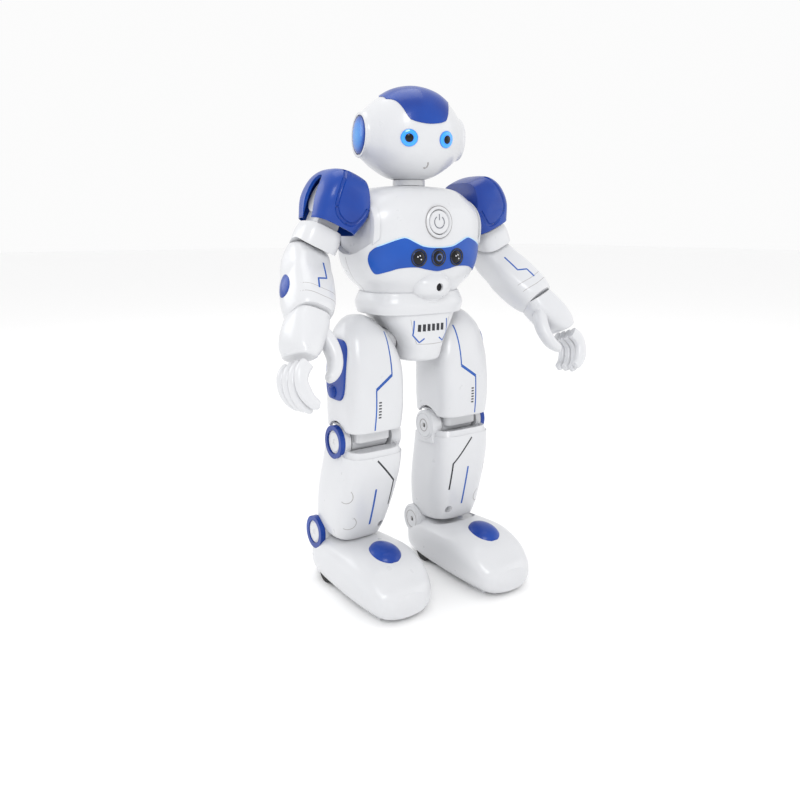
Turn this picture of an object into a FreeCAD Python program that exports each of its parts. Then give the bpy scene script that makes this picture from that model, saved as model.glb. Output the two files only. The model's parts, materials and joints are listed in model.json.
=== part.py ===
"""Walking humanoid toy robot, about 26 cm tall, in millimetres.

+Z is up, the robot faces -Y and its left side is +X. The origin is the middle of the overall
box, at the floor. The robot stands in mid-stride: right ankle back, left ankle forward.
"""
import FreeCAD
import Part
import math
import os

Vector = FreeCAD.Vector

# ---- Driving dimensions ----
STRIDE_ANGLE = 4.5          # each shin leans this far from upright, one back and one forward
FOOT_FRONT = 46.5           # toe ahead of the hip axis when both feet are level
FOOT_BACK = 29.5            # heel behind the hip axis when both feet are level
KNEE = (28.5, 0.0, 78.0)    # left knee pivot
ANKLE_Y = 20.0              # ankle pivot behind the knee pivot with the shin upright
ANKLE_Z = 22.5              # ankle pivot above the floor
HIP_Z = 127.0
SHOULDER = (48.0, 0.0, 199.0)
ARM_SPLAY = 24.0            # upper arm leans outward by this angle
ELBOW_DROP = 35.0           # shoulder pivot to elbow pivot
ELBOW_BEND = 43.0           # forearm is raised forward by this angle
ELBOW_MAX_BEND = 75.0
WRIST_DROP = 32.0           # elbow pivot to wrist
HAND_DROOP = 24.0           # the hand hangs more steeply than the forearm
ELBOW_ROLL = 11.0           # radius of the rolled top of the forearm
HEAD_TURN = -12.0           # head turned to the robot's right
NECK_RADIUS = 8.7
PIVOT_RADIUS = 2.5          # pins and shafts
RUNNING_GAP = 0.05          # radial clearance of a pin in its bore
PART_GAP = 0.4              # clearance between moving pieces
WALL = 1.8
ARMHOLE_X = 36.5            # plane of the shoulder recess in the torso
BUTTON_Z = 189.0
BUTTON_RADIUS = 6.1
WHEEL_RADIUS = 6.5
WHEEL_Y = 12.0              # wheel axle behind the shin-upright knee line
GROUND_CLEARANCE = 1.2      # foot shell above the floor around its wheels
JACK_RADIUS = 1.75          # charging socket
JACK_Z = 158.0
SCREW_X = (-23.0, 23.0)     # rear shell screws
SCREW_Z = (166.0, 196.0)
SPLIT_Y = 3.0               # seam between the front and rear torso shells


# ---- Shape helpers ----
def ring(centre, across, along, half_across, half_along, power, count=24):
    """Closed smooth superellipse wire in the plane of two unit directions."""
    points = []
    for step in range(count):
        angle = 2.0 * math.pi * step / count
        cosine = math.cos(angle)
        sine = math.sin(angle)
        a = half_across * math.copysign(abs(cosine) ** (2.0 / power), cosine)
        b = half_along * math.copysign(abs(sine) ** (2.0 / power), sine)
        points.append(centre + across * a + along * b)
    curve = Part.BSplineCurve()
    curve.interpolate(points, PeriodicFlag=True)
    return Part.Wire([curve.toShape()])


def stack(sections, inset=0.0):
    """Solid through horizontal sections (z, x, y, half width, half depth, power)."""
    wires = []
    for z, x, y, half_width, half_depth, power in sections:
        centre = Vector(x, y, z)
        wires.append(ring(centre, Vector(1, 0, 0), Vector(0, 1, 0),
                          half_width - inset, half_depth - inset, power))
    return Part.makeLoft(wires, True, False)


def sideways(sections, inset=0.0):
    """Solid through upright sections (x, y, z, half depth, half height, power) along X."""
    wires = []
    for x, y, z, half_depth, half_height, power in sections:
        centre = Vector(x, y, z)
        wires.append(ring(centre, Vector(0, 1, 0), Vector(0, 0, 1),
                          half_depth - inset, half_height - inset, power))
    return Part.makeLoft(wires, True, False)


def sideways_y(sections, inset=0.0):
    """Solid through upright sections (y, x, z, half width, half height, power) along Y."""
    wires = []
    for y, x, z, half_width, half_height, power in sections:
        wires.append(ring(Vector(x, y, z), Vector(1, 0, 0), Vector(0, 0, 1),
                          half_width - inset, half_height - inset, power))
    return Part.makeLoft(wires, True, False)


def box(x0, x1, y0, y1, z0, z1):
    return Part.makeBox(x1 - x0, y1 - y0, z1 - z0, Vector(x0, y0, z0))


def rod(start, direction, length, radius):
    return Part.makeCylinder(radius, length, Vector(*start), Vector(*direction))


def rod_x(x0, x1, y, z, radius):
    return rod((x0, y, z), (1, 0, 0), x1 - x0, radius)


def rod_y(x, y0, y1, z, radius):
    return rod((x, y0, z), (0, 1, 0), y1 - y0, radius)


def join(first, *others):
    solid = first
    for other in others:
        solid = solid.fuse(other)
    return solid.removeSplitter()


def turned(shape, point, axis, angle):
    copy = shape.copy()
    copy.rotate(Vector(*point), Vector(*axis), angle)
    return copy


def mirrored(shape):
    return shape.mirror(Vector(0, 0, 0), Vector(1, 0, 0))


# ---- Head, built facing -Y and turned at the end ----
HEAD_SECTIONS = [
    (-28.6, 0.5, 235.0, 12.0, 12.0, 2.0),
    (-25.0, 0.3, 235.2, 13.8, 14.0, 2.1),
    (-20.6, 0.0, 235.6, 19.0, 17.6, 2.2),
    (-11.4, 0.0, 236.2, 25.0, 23.2, 2.2),
    (0.0, 0.0, 236.3, 27.0, 25.7, 2.2),
    (11.4, 0.0, 236.2, 25.0, 23.2, 2.2),
    (20.6, 0.0, 235.6, 19.0, 17.6, 2.2),
    (25.0, 0.3, 235.2, 13.8, 14.0, 2.1),
    (28.6, 0.5, 235.0, 12.0, 12.0, 2.0),
]
EYE_X = 9.9
EYE_Y = 24.6
EYE_Z = 231.5
EYE_ANGLE = 24.0            # each eye looks outward by this angle
EYE_RADIUS = 4.45
PUPIL_RADIUS = 2.3
EAR_RADIUS = 10.2
EAR_X = 28.6                # outer plane of the ear rims


def eye_rod(side, radius, depth, reach):
    """Round rod along an eye's line of sight, from a depth inside the face to a reach ahead."""
    angle = math.radians(EYE_ANGLE) * side
    way = Vector(math.sin(angle), -math.cos(angle), 0)
    surface = Vector(side * EYE_X, -EYE_Y, EYE_Z)
    return Part.makeCylinder(radius, depth + reach, surface - way * depth, way)


def build_head():
    parts = {}
    outer = sideways(HEAD_SECTIONS)
    inner_sections = HEAD_SECTIONS[1:-1]
    inner = sideways(inner_sections, WALL)
    cap_zone = stack([(239.5, 0, -14, 19, 16, 2.4), (250.0, 0, -10, 19.5, 20, 2.4),
                      (266.0, 0, -6, 20, 23, 2.4)])
    cap_bed = sideways(HEAD_SECTIONS[2:-2], 1.2)
    cap = outer.common(cap_zone).cut(cap_bed)
    shell = outer.cut(inner)
    for side in (-1, 1):
        ear_bed = rod_x(EAR_X - 1.6, 40.0, 0.5, 235.0, EAR_RADIUS + 0.05)
        ear = join(rod_x(EAR_X - 1.5, EAR_X, 0.5, 235.0, EAR_RADIUS),
                   Part.makeCone(EAR_RADIUS, EAR_RADIUS - 1.8, 0.9, Vector(EAR_X, 0.5, 235.0),
                                 Vector(1, 0, 0)))
        if side < 0:
            ear_bed = mirrored(ear_bed)
            ear = mirrored(ear)
        shell = shell.cut(ear_bed)
        parts["ear_disc_right" if side < 0 else "ear_disc_left"] = ear
    shell = shell.cut(outer.common(cap_zone).cut(sideways(HEAD_SECTIONS[2:-2], 1.25)))
    lens_tools = []
    pupils = []
    for side in (-1, 1):
        lens = eye_rod(side, EYE_RADIUS, 3.6, 6.0).common(sideways(HEAD_SECTIONS, -0.3))
        pupil = eye_rod(side, PUPIL_RADIUS, 2.6, 6.0).common(sideways(HEAD_SECTIONS, -0.5))
        lens_tools.append(eye_rod(side, EYE_RADIUS + 0.02, 5.0, 9.0))
        pupils.append(pupil)
        name = "eye_light_right" if side < 0 else "eye_light_left"
        parts[name] = lens.cut(eye_rod(side, PUPIL_RADIUS, 2.6, 9.0))
    for tool in lens_tools:
        shell = shell.cut(tool)
    mouth = rod_y(0.0, -40.0, -10.0, 218.0, 0.9)
    shell = shell.cut(mouth)
    neck_hole = join(rod((0, 0, 205.0), (0, 0, 1), 14.0, NECK_RADIUS - 1.5),
                     rod((0, 0, 205.0), (0, 0, 1), 6.65, NECK_RADIUS + 0.05))
    shell = shell.cut(neck_hole)
    seam_y = 1.0
    parts["face_shell"] = shell.common(box(-50, 50, -60, seam_y, 190, 280))
    parts["head_rear_shell"] = shell.common(box(-50, 50, seam_y, 60, 190, 280))
    parts["head_cap"] = cap
    parts["eye_pupils"] = Part.Compound(pupils)
    board = box(-13, 13, -17.5, -15.9, 224, 239)
    lamps = [eye_rod(side, 1.6, 9.5, -5.2) for side in (-1, 1)]
    parts["eye_led_board"] = join(board, *lamps)
    neck = join(rod((0, 0, 208.6), (0, 0, 1), 3.0, NECK_RADIUS),
                rod((0, 0, 195.0), (0, 0, 1), 20.0, 6.0),
                rod((0, 0, 193.0), (0, 0, 1), 2.2, 8.0),
                rod((0, 0, 211.0), (0, 0, 1), 13.0, NECK_RADIUS - 1.55))
    parts["neck_post"] = neck.cut(rod((0, 0, 190), (0, 0, 1), 40, 3.0))
    return {name: turned(shape, (0, 0, 0), (0, 0, 1), HEAD_TURN) for name, shape in parts.items()}


# ---- Torso ----
TORSO_SECTIONS = [
    (146.0, 0, 0, 24.0, 18.0, 2.6),
    (154.0, 0, 0, 27.0, 20.5, 2.6),
    (160.0, 0, 0, 33.0, 24.0, 2.7),
    (168.0, 0, 0, 37.0, 26.0, 2.8),
    (178.0, 0, 0, 39.0, 26.5, 2.8),
    (188.0, 0, 0, 40.0, 27.0, 2.8),
    (196.0, 0, 0, 37.5, 26.0, 2.7),
    (203.0, 0, 0, 31.0, 22.5, 2.5),
    (207.8, 0, 0, 20.0, 16.0, 2.3),
]
BAND_TOP = 180.0
BAND_BOTTOM = 164.0
SENSOR_Z = 171.0
SENSOR_X = (-12.0, 0.0, 12.0)
SENSOR_RADIUS = 4.3
SKIRT_TOP = 153.0
SKIRT_BOTTOM = 142.0


def build_torso():
    parts = {}
    outer = stack(TORSO_SECTIONS)
    boss = stack([(150.0, 0, -17, 8.0, 7.0, 2.5), (156.0, 0, -20, 9.5, 8.0, 2.3),
                  (163.0, 0, -20, 8.0, 7.0, 2.2)])
    outer = outer.fuse(boss)
    inner = stack(TORSO_SECTIONS, WALL).cut(box(-60, 60, -60, 60, 205.0, 220.0))
    recess_radius = 27.0
    pockets = []
    for side in (-1, 1):
        recess = rod_x(ARMHOLE_X, 60.0, 0.0, SHOULDER[2], recess_radius)
        wall = rod_x(ARMHOLE_X - 2.2, 60.0, 0.0, SHOULDER[2], recess_radius + WALL)
        shaft_bore = rod_x(25.0, 60.0, 0.0, SHOULDER[2], PIVOT_RADIUS + RUNNING_GAP)
        if side < 0:
            recess, wall, shaft_bore = [mirrored(s) for s in (recess, wall, shaft_bore)]
        outer = outer.cut(recess)
        inner = inner.cut(wall)
        outer = outer.cut(shaft_bore)
        pocket = rod_x(28.0, 34.25, 0.0, SHOULDER[2], 5.2)
        pockets.append(mirrored(pocket) if side < 0 else pocket)
    collar = rod((0, 0, 203.5), (0, 0, 1), 4.8, 10.0)
    shell = outer.cut(inner).fuse(collar)
    for pocket in pockets:
        shell = shell.cut(pocket)
    shell = shell.cut(rod((0, 0, 180), (0, 0, 1), 40, 6.0 + RUNNING_GAP))
    front = shell.common(box(-60, 60, -60, SPLIT_Y, 130, 230))
    rear = shell.common(box(-60, 60, SPLIT_Y, 60, 130, 230))

    band_zone = stack([(BAND_BOTTOM, 0, -10, 30, 40, 3), (168.0, 0, -10, 37.5, 40, 3),
                       (176.0, 0, -10, 38.5, 40, 3), (BAND_TOP, 0, -10, 34.0, 40, 3)])
    band_zone = band_zone.common(box(-60, 60, -60, -7, 130, 230))
    band_skin = stack(TORSO_SECTIONS, -0.1).cut(stack(TORSO_SECTIONS, 0.9)).common(band_zone)
    front = front.cut(stack(TORSO_SECTIONS, -0.5).cut(stack(TORSO_SECTIONS, 0.95))
                      .common(band_zone))
    for index, x in enumerate(SENSOR_X):
        depth = 1.0 if index != 1 else 0.0
        lens = rod_y(x, -26.9 + depth, -19.0, SENSOR_Z, SENSOR_RADIUS)
        parts["sensor_lens_%d" % (index + 1)] = lens
        tool = rod_y(x, -40.0, -18.0, SENSOR_Z, SENSOR_RADIUS + 0.05)
        band_skin = band_skin.cut(tool)
        front = front.cut(tool)
    parts["chest_band"] = band_skin

    bezel_tool = rod_y(0, -40, -15, BUTTON_Z, 7.1)
    front = front.cut(bezel_tool)
    bezel = rod_y(0, -28.2, -22.0, BUTTON_Z, 7.1).cut(
        rod_y(0, -40, -10, BUTTON_Z, BUTTON_RADIUS + 0.15))
    lip = rod_y(0, -23.6, -22.0, BUTTON_Z, 8.6).cut(
        rod_y(0, -40, -10, BUTTON_Z, BUTTON_RADIUS + 0.15))
    front = front.cut(lip)
    front = join(front, bezel, lip)
    front = front.cut(rod_y(0, -40, -20, 155.5, 2.2))
    parts["chest_shell"] = front

    pack_zone = box(-19, 19, 19.0, 40, 163.5, 196)
    cover_zone = box(-18.9, 18.9, 19.0, 40, 163.6, 195.9)
    cover = stack(TORSO_SECTIONS).cut(stack(TORSO_SECTIONS, WALL)).common(cover_zone)
    rear = rear.cut(pack_zone)
    parts["battery_cover"] = cover
    rear = rear.cut(rod_y(0, 8, 40, JACK_Z, 4.0))
    jack = rod_y(0, 12.0, 20.3, JACK_Z, 3.98).cut(rod_y(0, 13.3, 30, JACK_Z, JACK_RADIUS))
    parts["charge_jack"] = jack
    parts["rear_shell"] = rear

    parts["battery_pack"] = join(box(-17, 17, 9.0, 21.0, 165.0, 179.0),
                                 box(-17, 17, 9.0, 21.0, 179.6, 193.0),
                                 box(-15, 15, 11.0, 19.0, 178.0, 181.0))
    parts["main_board"] = join(box(-20, 20, 4.0, 5.6, 160.0, 190.0),
                               box(-6, 6, 2.2, 4.0, 166.0, 178.0),
                               box(-18, -10, 1.6, 4.0, 176.0, 184.0))
    speaker = join(rod_y(0, -12.0, -8.0, 171.0, 13.0), rod_y(0, -8.0, -3.0, 171.0, 7.0))
    parts["speaker"] = speaker.cut(rod_y(0, -12.5, -10.5, 171.0, 10.5))
    gearbox = join(box(-20, 20, -9.8, 1.4, 187.0, 202.0), box(-27, -20, -7, 1.4, 194.0, 201.5),
                   box(20, 27, -7, 1.4, 194.0, 201.5))
    gearbox = gearbox.cut(rod((0, 0, 191.0), (0, 0, 1), 20, 9.0))
    parts["arm_gearbox"] = gearbox

    screws = []
    for x in SCREW_X:
        for z in SCREW_Z:
            screws.append(join(rod_y(x, 5.6, 19.4, z, 1.1), rod_y(x, 17.0, 18.2, z, 2.2)))
    parts["torso_screws"] = Part.Compound(screws)
    for x in SCREW_X:
        for z in SCREW_Z:
            parts["rear_shell"] = parts["rear_shell"].cut(rod_y(x, 16.9, 40.0, z, 2.3))

    button = join(rod_y(0, -28.6, -21.4, BUTTON_Z, BUTTON_RADIUS),
                  rod_y(0, -21.4, -19.8, BUTTON_Z, 7.6))
    parts["power_button"] = button

    hip_top = 146.0
    skirt = stack([(SKIRT_BOTTOM, 0, 0, 29.0, 21.5, 3.0), (148.0, 0, 0, 30.0, 22.5, 3.0),
                   (SKIRT_TOP, 0, 0, 28.5, 21.5, 2.8)])
    skirt = skirt.cut(stack(TORSO_SECTIONS[:5], -PART_GAP))
    skirt = skirt.cut(stack([(130, 0, 0, 26.6, 19.4, 3), (hip_top, 0, 0, 26.6, 19.4, 3)]))
    # Notch for the belly boss of the chest.
    skirt = skirt.cut(box(-10.5, 10.5, -40.0, -10.0, 149.4, 160.0))
    parts["waist_ring"] = skirt

    pelvis = stack([(117.0, 0, -3.0, 10.0, 15.0, 2.6), (124.0, 0, -2.0, 10.2, 18.5, 3.0),
                    (134.0, 0, -1.0, 10.4, 19.2, 3.4), (144.0, 0, -0.5, 10.4, 17.9, 3.4)])
    deck = stack([(142.2, 0, 0, 25.8, 18.6, 3.0), (hip_top, 0, 0, 25.8, 18.6, 3.0)])
    pelvis = join(pelvis, deck)
    pelvis = pelvis.cut(rod_x(-20, 20, 0, HIP_Z, PIVOT_RADIUS + RUNNING_GAP))
    pelvis = pelvis.cut(box(-7.5, 7.5, -13.0, 13.0, 110.0, 139.0))
    parts["pelvis_shell"] = pelvis
    return parts



# ---- Arm, built for the left side hanging straight down from the shoulder ----
def build_arm():
    shoulder = {}
    forearm = {}
    fingers = {}
    base = Vector(*SHOULDER)

    def moved(shape):
        copy = shape.copy()
        copy.translate(base)
        return copy

    pad_sections = [(-12.5, 0, 0, 13.0, 15.5, 4.0), (-2.0, 0, 0, 14.6, 17.5, 4.2),
                    (6.0, 0, 0, 14.0, 17.0, 3.8), (11.0, 0, 0, 11.5, 14.5, 3.2),
                    (13.6, 0, 0, 6.5, 9.0, 2.6)]
    pad = stack(pad_sections).cut(stack([(-13.0, 0, 0, 11.2, 13.7, 4.0)] + [
        (z, x, y, a - 1.7, b - 1.7, n) for z, x, y, a, b, n in pad_sections[1:4]]))
    window = box(8.0, 20.0, -5.5, 5.5, -14.0, 8.0)
    pad = pad.cut(window)
    drum = join(rod_x(-7.5, 11.6, 0, 0, 9.0), box(-6.0, 6.0, -7.0, 7.0, -14.0, 0.0))
    cuff = stack([(-14.0, 0, 0, 9.6, 9.8, 3.2), (-20.0, 0, 0, 10.6, 10.6, 3.2),
                  (-31.5, 0, 0, 10.2, 10.2, 3.2)])
    roll_clear = rod_x(-20, 20, 0, -ELBOW_DROP, ELBOW_ROLL + PART_GAP)
    swing = box(-20, 20, -ELBOW_ROLL - PART_GAP, ELBOW_ROLL + PART_GAP,
                -ELBOW_DROP - 40.0, -ELBOW_DROP)
    swing = turned(swing, (0, 0, -ELBOW_DROP), (1, 0, 0), -ELBOW_MAX_BEND - 1.0)
    cuff = cuff.cut(roll_clear).cut(swing)
    tongue = join(box(-3.5, 3.5, -4.0, 4.0, -ELBOW_DROP, -16.0),
                  rod_x(-3.5, 3.5, 0, -ELBOW_DROP, 4.0))
    cuff = join(cuff, tongue).cut(rod_x(-20, 20, 0, -ELBOW_DROP, PIVOT_RADIUS))
    pin = rod_x(-9.2, 9.2, 0, -ELBOW_DROP, PIVOT_RADIUS)

    tip = -ELBOW_DROP
    slot_half = 3.5 + PART_GAP
    sleeve_top = tip - 6.0
    sleeve = stack([(sleeve_top, 0, 0, 10.6, ELBOW_ROLL, 3.4), (tip - 13, 0, 0, 11.6, 11.8, 3.2),
                    (tip - 24, 0, -0.5, 11.4, 11.8, 3.0),
                    (tip - 33.9, 0.4, -0.9, 9.4, 10.0, 2.8)])
    arm = sleeve.cut(rod_x(-slot_half, slot_half, 0, tip, 6.6))
    for low, high in ((-10.4, -slot_half), (slot_half, 10.4)):
        disc = rod_x(low, high, 0, tip, ELBOW_ROLL)
        arm = arm.fuse(disc)
    arm = arm.cut(rod_x(-20, 20, 0, tip, PIVOT_RADIUS + RUNNING_GAP))
    arm = arm.cut(box(-8.0, 8.0, -8, 8, tip - 40, tip - 16))
    badge_zone = sideways([(9.6, 2.0, tip - 17, 4.4, 6.8, 2.2), (14.0, 2.0, tip - 17, 4.4, 6.8, 2.2)])
    badge = badge_zone.common(sleeve)
    arm = arm.cut(badge_zone)

    # The hand curls as an open C: knuckle block, then hinged fingers, with the thumb inboard.
    palm = stack([(tip - 34.0, 0.5, -1.0, 8.8, 9.2, 2.8), (tip - 44.0, 2.0, -2.0, 8.4, 11.0, 2.8),
                  (tip - 54.0, 2.5, -4.0, 6.4, 10.5, 3.0), (tip - 56.5, 2.5, -4.0, 5.0, 9.6, 3.0)])
    thumb = stack([(tip - 42.0, -6.0, -6.0, 3.4, 4.4, 2.6), (tip - 50.0, -11.0, -8.0, 3.2, 4.2, 2.6),
                   (tip - 58.0, -12.5, -10.0, 2.8, 3.8, 2.5), (tip - 63.0, -11.5, -11.5, 2.0, 2.8, 2.4)])
    hinge = (2.5, 0.0, tip - 59.0)
    knuckle_roll = rod_y(hinge[0], -13.6, 5.4, hinge[2], 3.6)
    palm = palm.cut(rod_y(hinge[0], -20, 20, hinge[2], 3.6 + PART_GAP))
    lug = join(box(hinge[0] - 1.8, hinge[0] + 1.8, -6.0, -2.0, hinge[2], tip - 50.0),
               rod_y(hinge[0], -6.0, -2.0, hinge[2], 1.8))
    hand = join(palm, lug, thumb)
    finger_parts = []
    for index in range(4):
        y = -11.4 + 4.85 * index
        stretch = 1.0 - 0.07 * abs(index - 1)
        finger_parts.append(stack([
            (hinge[2], hinge[0], y, 2.7, 2.35, 3.0),
            (hinge[2] - 7.0 * stretch, hinge[0] + 0.2, y, 2.6, 2.35, 3.0),
            (hinge[2] - 13.0 * stretch, hinge[0] - 3.6, y, 2.4, 2.3, 3.0),
            (hinge[2] - 17.0 * stretch, hinge[0] - 8.6, y, 2.2, 2.1, 2.8)]))
    finger_set = join(knuckle_roll, *finger_parts)
    finger_set = finger_set.cut(box(hinge[0] - 6, hinge[0] + 6, -6.0 - PART_GAP, -2.0 + PART_GAP,
                                    hinge[2] - 2.6, hinge[2] + 10))
    hinge_pin = rod_y(hinge[0], -8.5, 0.5, hinge[2], 0.9)
    finger_set = finger_set.fuse(hinge_pin).removeSplitter()
    hand = hand.cut(rod_y(hinge[0], -20, 20, hinge[2], 0.9 + RUNNING_GAP))

    shoulder["shoulder_pad"] = moved(pad)
    shoulder["shoulder_hub"] = moved(drum)
    shoulder["upper_arm"] = moved(cuff)
    shoulder["elbow_pin"] = moved(pin)
    forearm["forearm"] = moved(arm)
    forearm["forearm_badge"] = moved(badge)
    forearm["hand"] = moved(hand)
    fingers["fingers"] = moved(finger_set)
    elbow = (SHOULDER[0], SHOULDER[1], SHOULDER[2] - ELBOW_DROP)
    wrist = (SHOULDER[0], SHOULDER[1], SHOULDER[2] - ELBOW_DROP - WRIST_DROP)
    forearm["hand"] = turned(forearm["hand"], wrist, (1, 0, 0), HAND_DROOP)
    fingers["fingers"] = turned(fingers["fingers"], wrist, (1, 0, 0), HAND_DROOP)
    forearm["hand"] = forearm["hand"].cut(forearm["forearm"])
    bent = {name: turned(s, elbow, (1, 0, 0), -ELBOW_BEND) for name, s in forearm.items()}
    bent.update({name: turned(s, elbow, (1, 0, 0), -ELBOW_BEND) for name, s in fingers.items()})
    splayed = {}
    for name, shape in list(shoulder.items()) + list(bent.items()):
        splayed[name] = turned(shape, SHOULDER, (0, 1, 0), -ARM_SPLAY)

    inner_plane = ARMHOLE_X + 0.6
    keep = box(inner_plane, 200, -100, 100, 0, 300)
    splayed["shoulder_pad"] = splayed["shoulder_pad"].common(keep)
    shaft = join(rod_x(34.0 - 0.2, 44.0, 0, SHOULDER[2], PIVOT_RADIUS),
                 rod_x(32.0, 33.9, 0, SHOULDER[2], 4.5))
    splayed["shoulder_hub"] = join(splayed["shoulder_hub"].common(keep), shaft)
    splayed["shoulder_pad"] = splayed["shoulder_pad"].cut(splayed["shoulder_hub"])
    splayed["upper_arm"] = splayed["upper_arm"].cut(splayed["shoulder_hub"])
    return splayed


# ---- Leg, built for the left side with the shin upright ----
SHIN_SECTIONS = [
    (26.0, KNEE[0], ANKLE_Y - 9.0, 13.5, 15.0, 3.4),
    (34.0, KNEE[0], ANKLE_Y - 10.5, 15.0, 17.0, 3.6),
    (48.0, KNEE[0], 6.0, 16.4, 18.0, 3.8),
    (62.0, KNEE[0], 2.0, 17.0, 17.6, 4.0),
    (73.0, KNEE[0], 0.0, 16.6, 16.6, 4.2),
]


def build_leg(lean):
    x = KNEE[0]
    knee_z = KNEE[2]
    thigh_outer = [(84.0, x, -0.5, 15.8, 16.0, 4.2), (98.0, x, -1.0, 16.6, 17.0, 4.2),
                   (116.0, x, -0.5, 16.4, 16.5, 3.8), (130.0, x + 1.5, 1.0, 13.5, 13.8, 3.0),
                   (138.0, x + 2.5, 2.5, 8.5, 9.0, 2.5), (141.2, x + 3.0, 3.0, 3.5, 4.0, 2.2)]
    thigh = stack(thigh_outer).cut(stack([
        (z, cx, cy, a - WALL, b - WALL, n) for z, cx, cy, a, b, n in
        [(83.0, x, -0.5, 15.8, 16.0, 4.2)] + thigh_outer[1:5]]))
    floor_plate = stack([(84.0, x, -0.5, 14.5, 14.7, 4.2), (86.2, x, -0.5, 14.5, 14.7, 4.2)])
    knee_block = join(box(x - 5.0, x + 5.0, -6.0, 6.0, knee_z, 85.0),
                      rod_x(x - 5.0, x + 5.0, 0, knee_z, 6.0))
    hip_block = rod_x(12.2, x, 0, HIP_Z, 6.0)
    hip_axle = join(rod_x(7.3 + 0.9, 13.0, 0, HIP_Z, PIVOT_RADIUS),
                    rod_x(5.9, 7.2, 0, HIP_Z, 4.2), rod_x(7.1, 8.3, 0, HIP_Z, PIVOT_RADIUS))
    thigh = join(thigh, floor_plate, knee_block, hip_block, hip_axle)
    pin_radius = PIVOT_RADIUS
    thigh = thigh.cut(rod_x(x - 30, x + 30, 0, knee_z, pin_radius + RUNNING_GAP))
    panel = sideways([(x + 14.4, -1.0, 114.5, 9.0, 16.0, 4.0), (x + 17.2, -1.0, 114.5, 8.5, 15.5, 4.0)])
    knob = rod_x(x + 14.0, x + 18.6, 2.0, 103.0, 4.0)
    thigh = thigh.cut(panel).cut(knob)
    panel = join(panel, knob)

    ankle = (x, ANKLE_Y, ANKLE_Z)
    shin_outer = SHIN_SECTIONS
    shin = stack(shin_outer).cut(stack([
        (z, cx, cy, a - WALL, b - WALL, n) for z, cx, cy, a, b, n in
        shin_outer[1:4] + [(71.0, x, 0.0, 16.6, 16.6, 4.2)]]))
    knee_well = box(x - 5.0 - PART_GAP, x + 5.0 + PART_GAP, -30, 30, knee_z - 8.0, knee_z + 8)
    ears = []
    for low, high in ((x - 18.3, x - 12.0), (x + 12.0, x + 17.2)):
        ears.append(rod_x(low, high, 0, knee_z, 8.0))
        ears.append(box(low, high, -6.5, 6.5, 66.0, knee_z))
    cheeks = [box(x - 12.2, x - 5.4, -5, 5, 68.0, knee_z), box(x + 5.4, x + 12.2, -5, 5, 68.0, knee_z)]
    cheeks += [rod_x(x - 12.2, x - 5.4, 0, knee_z, 5.0), rod_x(x + 5.4, x + 12.2, 0, knee_z, 5.0)]
    # The ears stand outside the thigh's lower edge, so the thigh is relieved around them.
    thigh = thigh.cut(rod_x(x - 30, x - 11.6, 0, knee_z, 10.6)).cut(
        rod_x(x + 11.6, x + 30, 0, knee_z, 10.6))
    shin = join(shin.cut(knee_well), *ears, *cheeks)
    deck = stack([(65.6, x, 1.2, 15.6, 16.1, 4.0), (67.6, x, 0.9, 15.6, 16.0, 4.0)])
    shin = join(shin, deck)
    shin = shin.cut(box(x - 5.4, x + 5.4, -8.0, 8.0, knee_z - 6.5, knee_z + 9))
    shin = shin.cut(rod_x(x - 14.0, x + 14.0, 0, knee_z, pin_radius))
    knee_pin = rod_x(x - 13.9, x + 13.9, 0, knee_z, pin_radius)
    ring_outer = rod_x(x + 15.6, x + 18.3, 0, knee_z, 8.2).cut(rod_x(x, x + 30, 0, knee_z, 6.0))
    shin = shin.cut(rod_x(x + 15.6, x + 30, 0, knee_z, 8.25).cut(rod_x(x, x + 30, 0, knee_z, 6.0)))

    # Ankle: the shin's lower boss sits between the foot's two cheeks.
    boss = join(rod_x(x - 8.0, x + 8.0, ankle[1], ankle[2], 5.5),
                box(x - 8.0, x + 8.0, ankle[1] - 5.5, ankle[1] + 1.5, ankle[2], 30.0))
    for low in (x - 15.8, x + 8.1):
        shin = shin.cut(rod_x(low, low + 7.7, ankle[1], ankle[2], 8.4))
    shin = join(shin, boss).cut(rod_x(x - 20, x + 20, ankle[1], ankle[2], pin_radius + RUNNING_GAP))
    shin_parts = {"shin": shin, "knee_ring": ring_outer, "knee_pin": knee_pin}
    rest = {}
    for name, shape in shin_parts.items():
        rest[name] = turned(shape, KNEE, (1, 0, 0), lean)

    # Foot, moved with the ankle and kept level.
    radians = math.radians(lean)
    dy = ankle[1] - KNEE[1]
    dz = ankle[2] - KNEE[2]
    new_y = KNEE[1] + dy * math.cos(radians) - dz * math.sin(radians)
    new_z = KNEE[2] + dy * math.sin(radians) + dz * math.cos(radians)
    shift = Vector(0, new_y - ankle[1], 0)
    return thigh, panel, rest, shift, (new_y, new_z)


def build_foot(lift):
    """Foot under a level-standing ankle; lift is how far the ankle is above its nominal height."""
    x = KNEE[0]
    y = ANKLE_Y
    z = ANKLE_Z + lift
    outer = sideways_y([
        (-FOOT_FRONT, x, 8.0, 10.0, 5.5, 2.6), (-FOOT_FRONT + 5.0, x, 9.2, 15.5, 8.0, 2.8),
        (-34.0, x, 12.0, 18.0, 10.8, 3.0), (-22.0, x, 13.6, 19.0, 12.4, 3.2),
        (-8.0, x, 13.4, 18.6, 12.2, 3.4), (10.0, x, 12.6, 17.6, 11.4, 3.4),
        (22.0, x, 11.6, 15.6, 10.4, 3.0), (FOOT_BACK, x, 10.6, 11.0, 8.6, 2.6)])
    return outer, x, y, z


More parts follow.
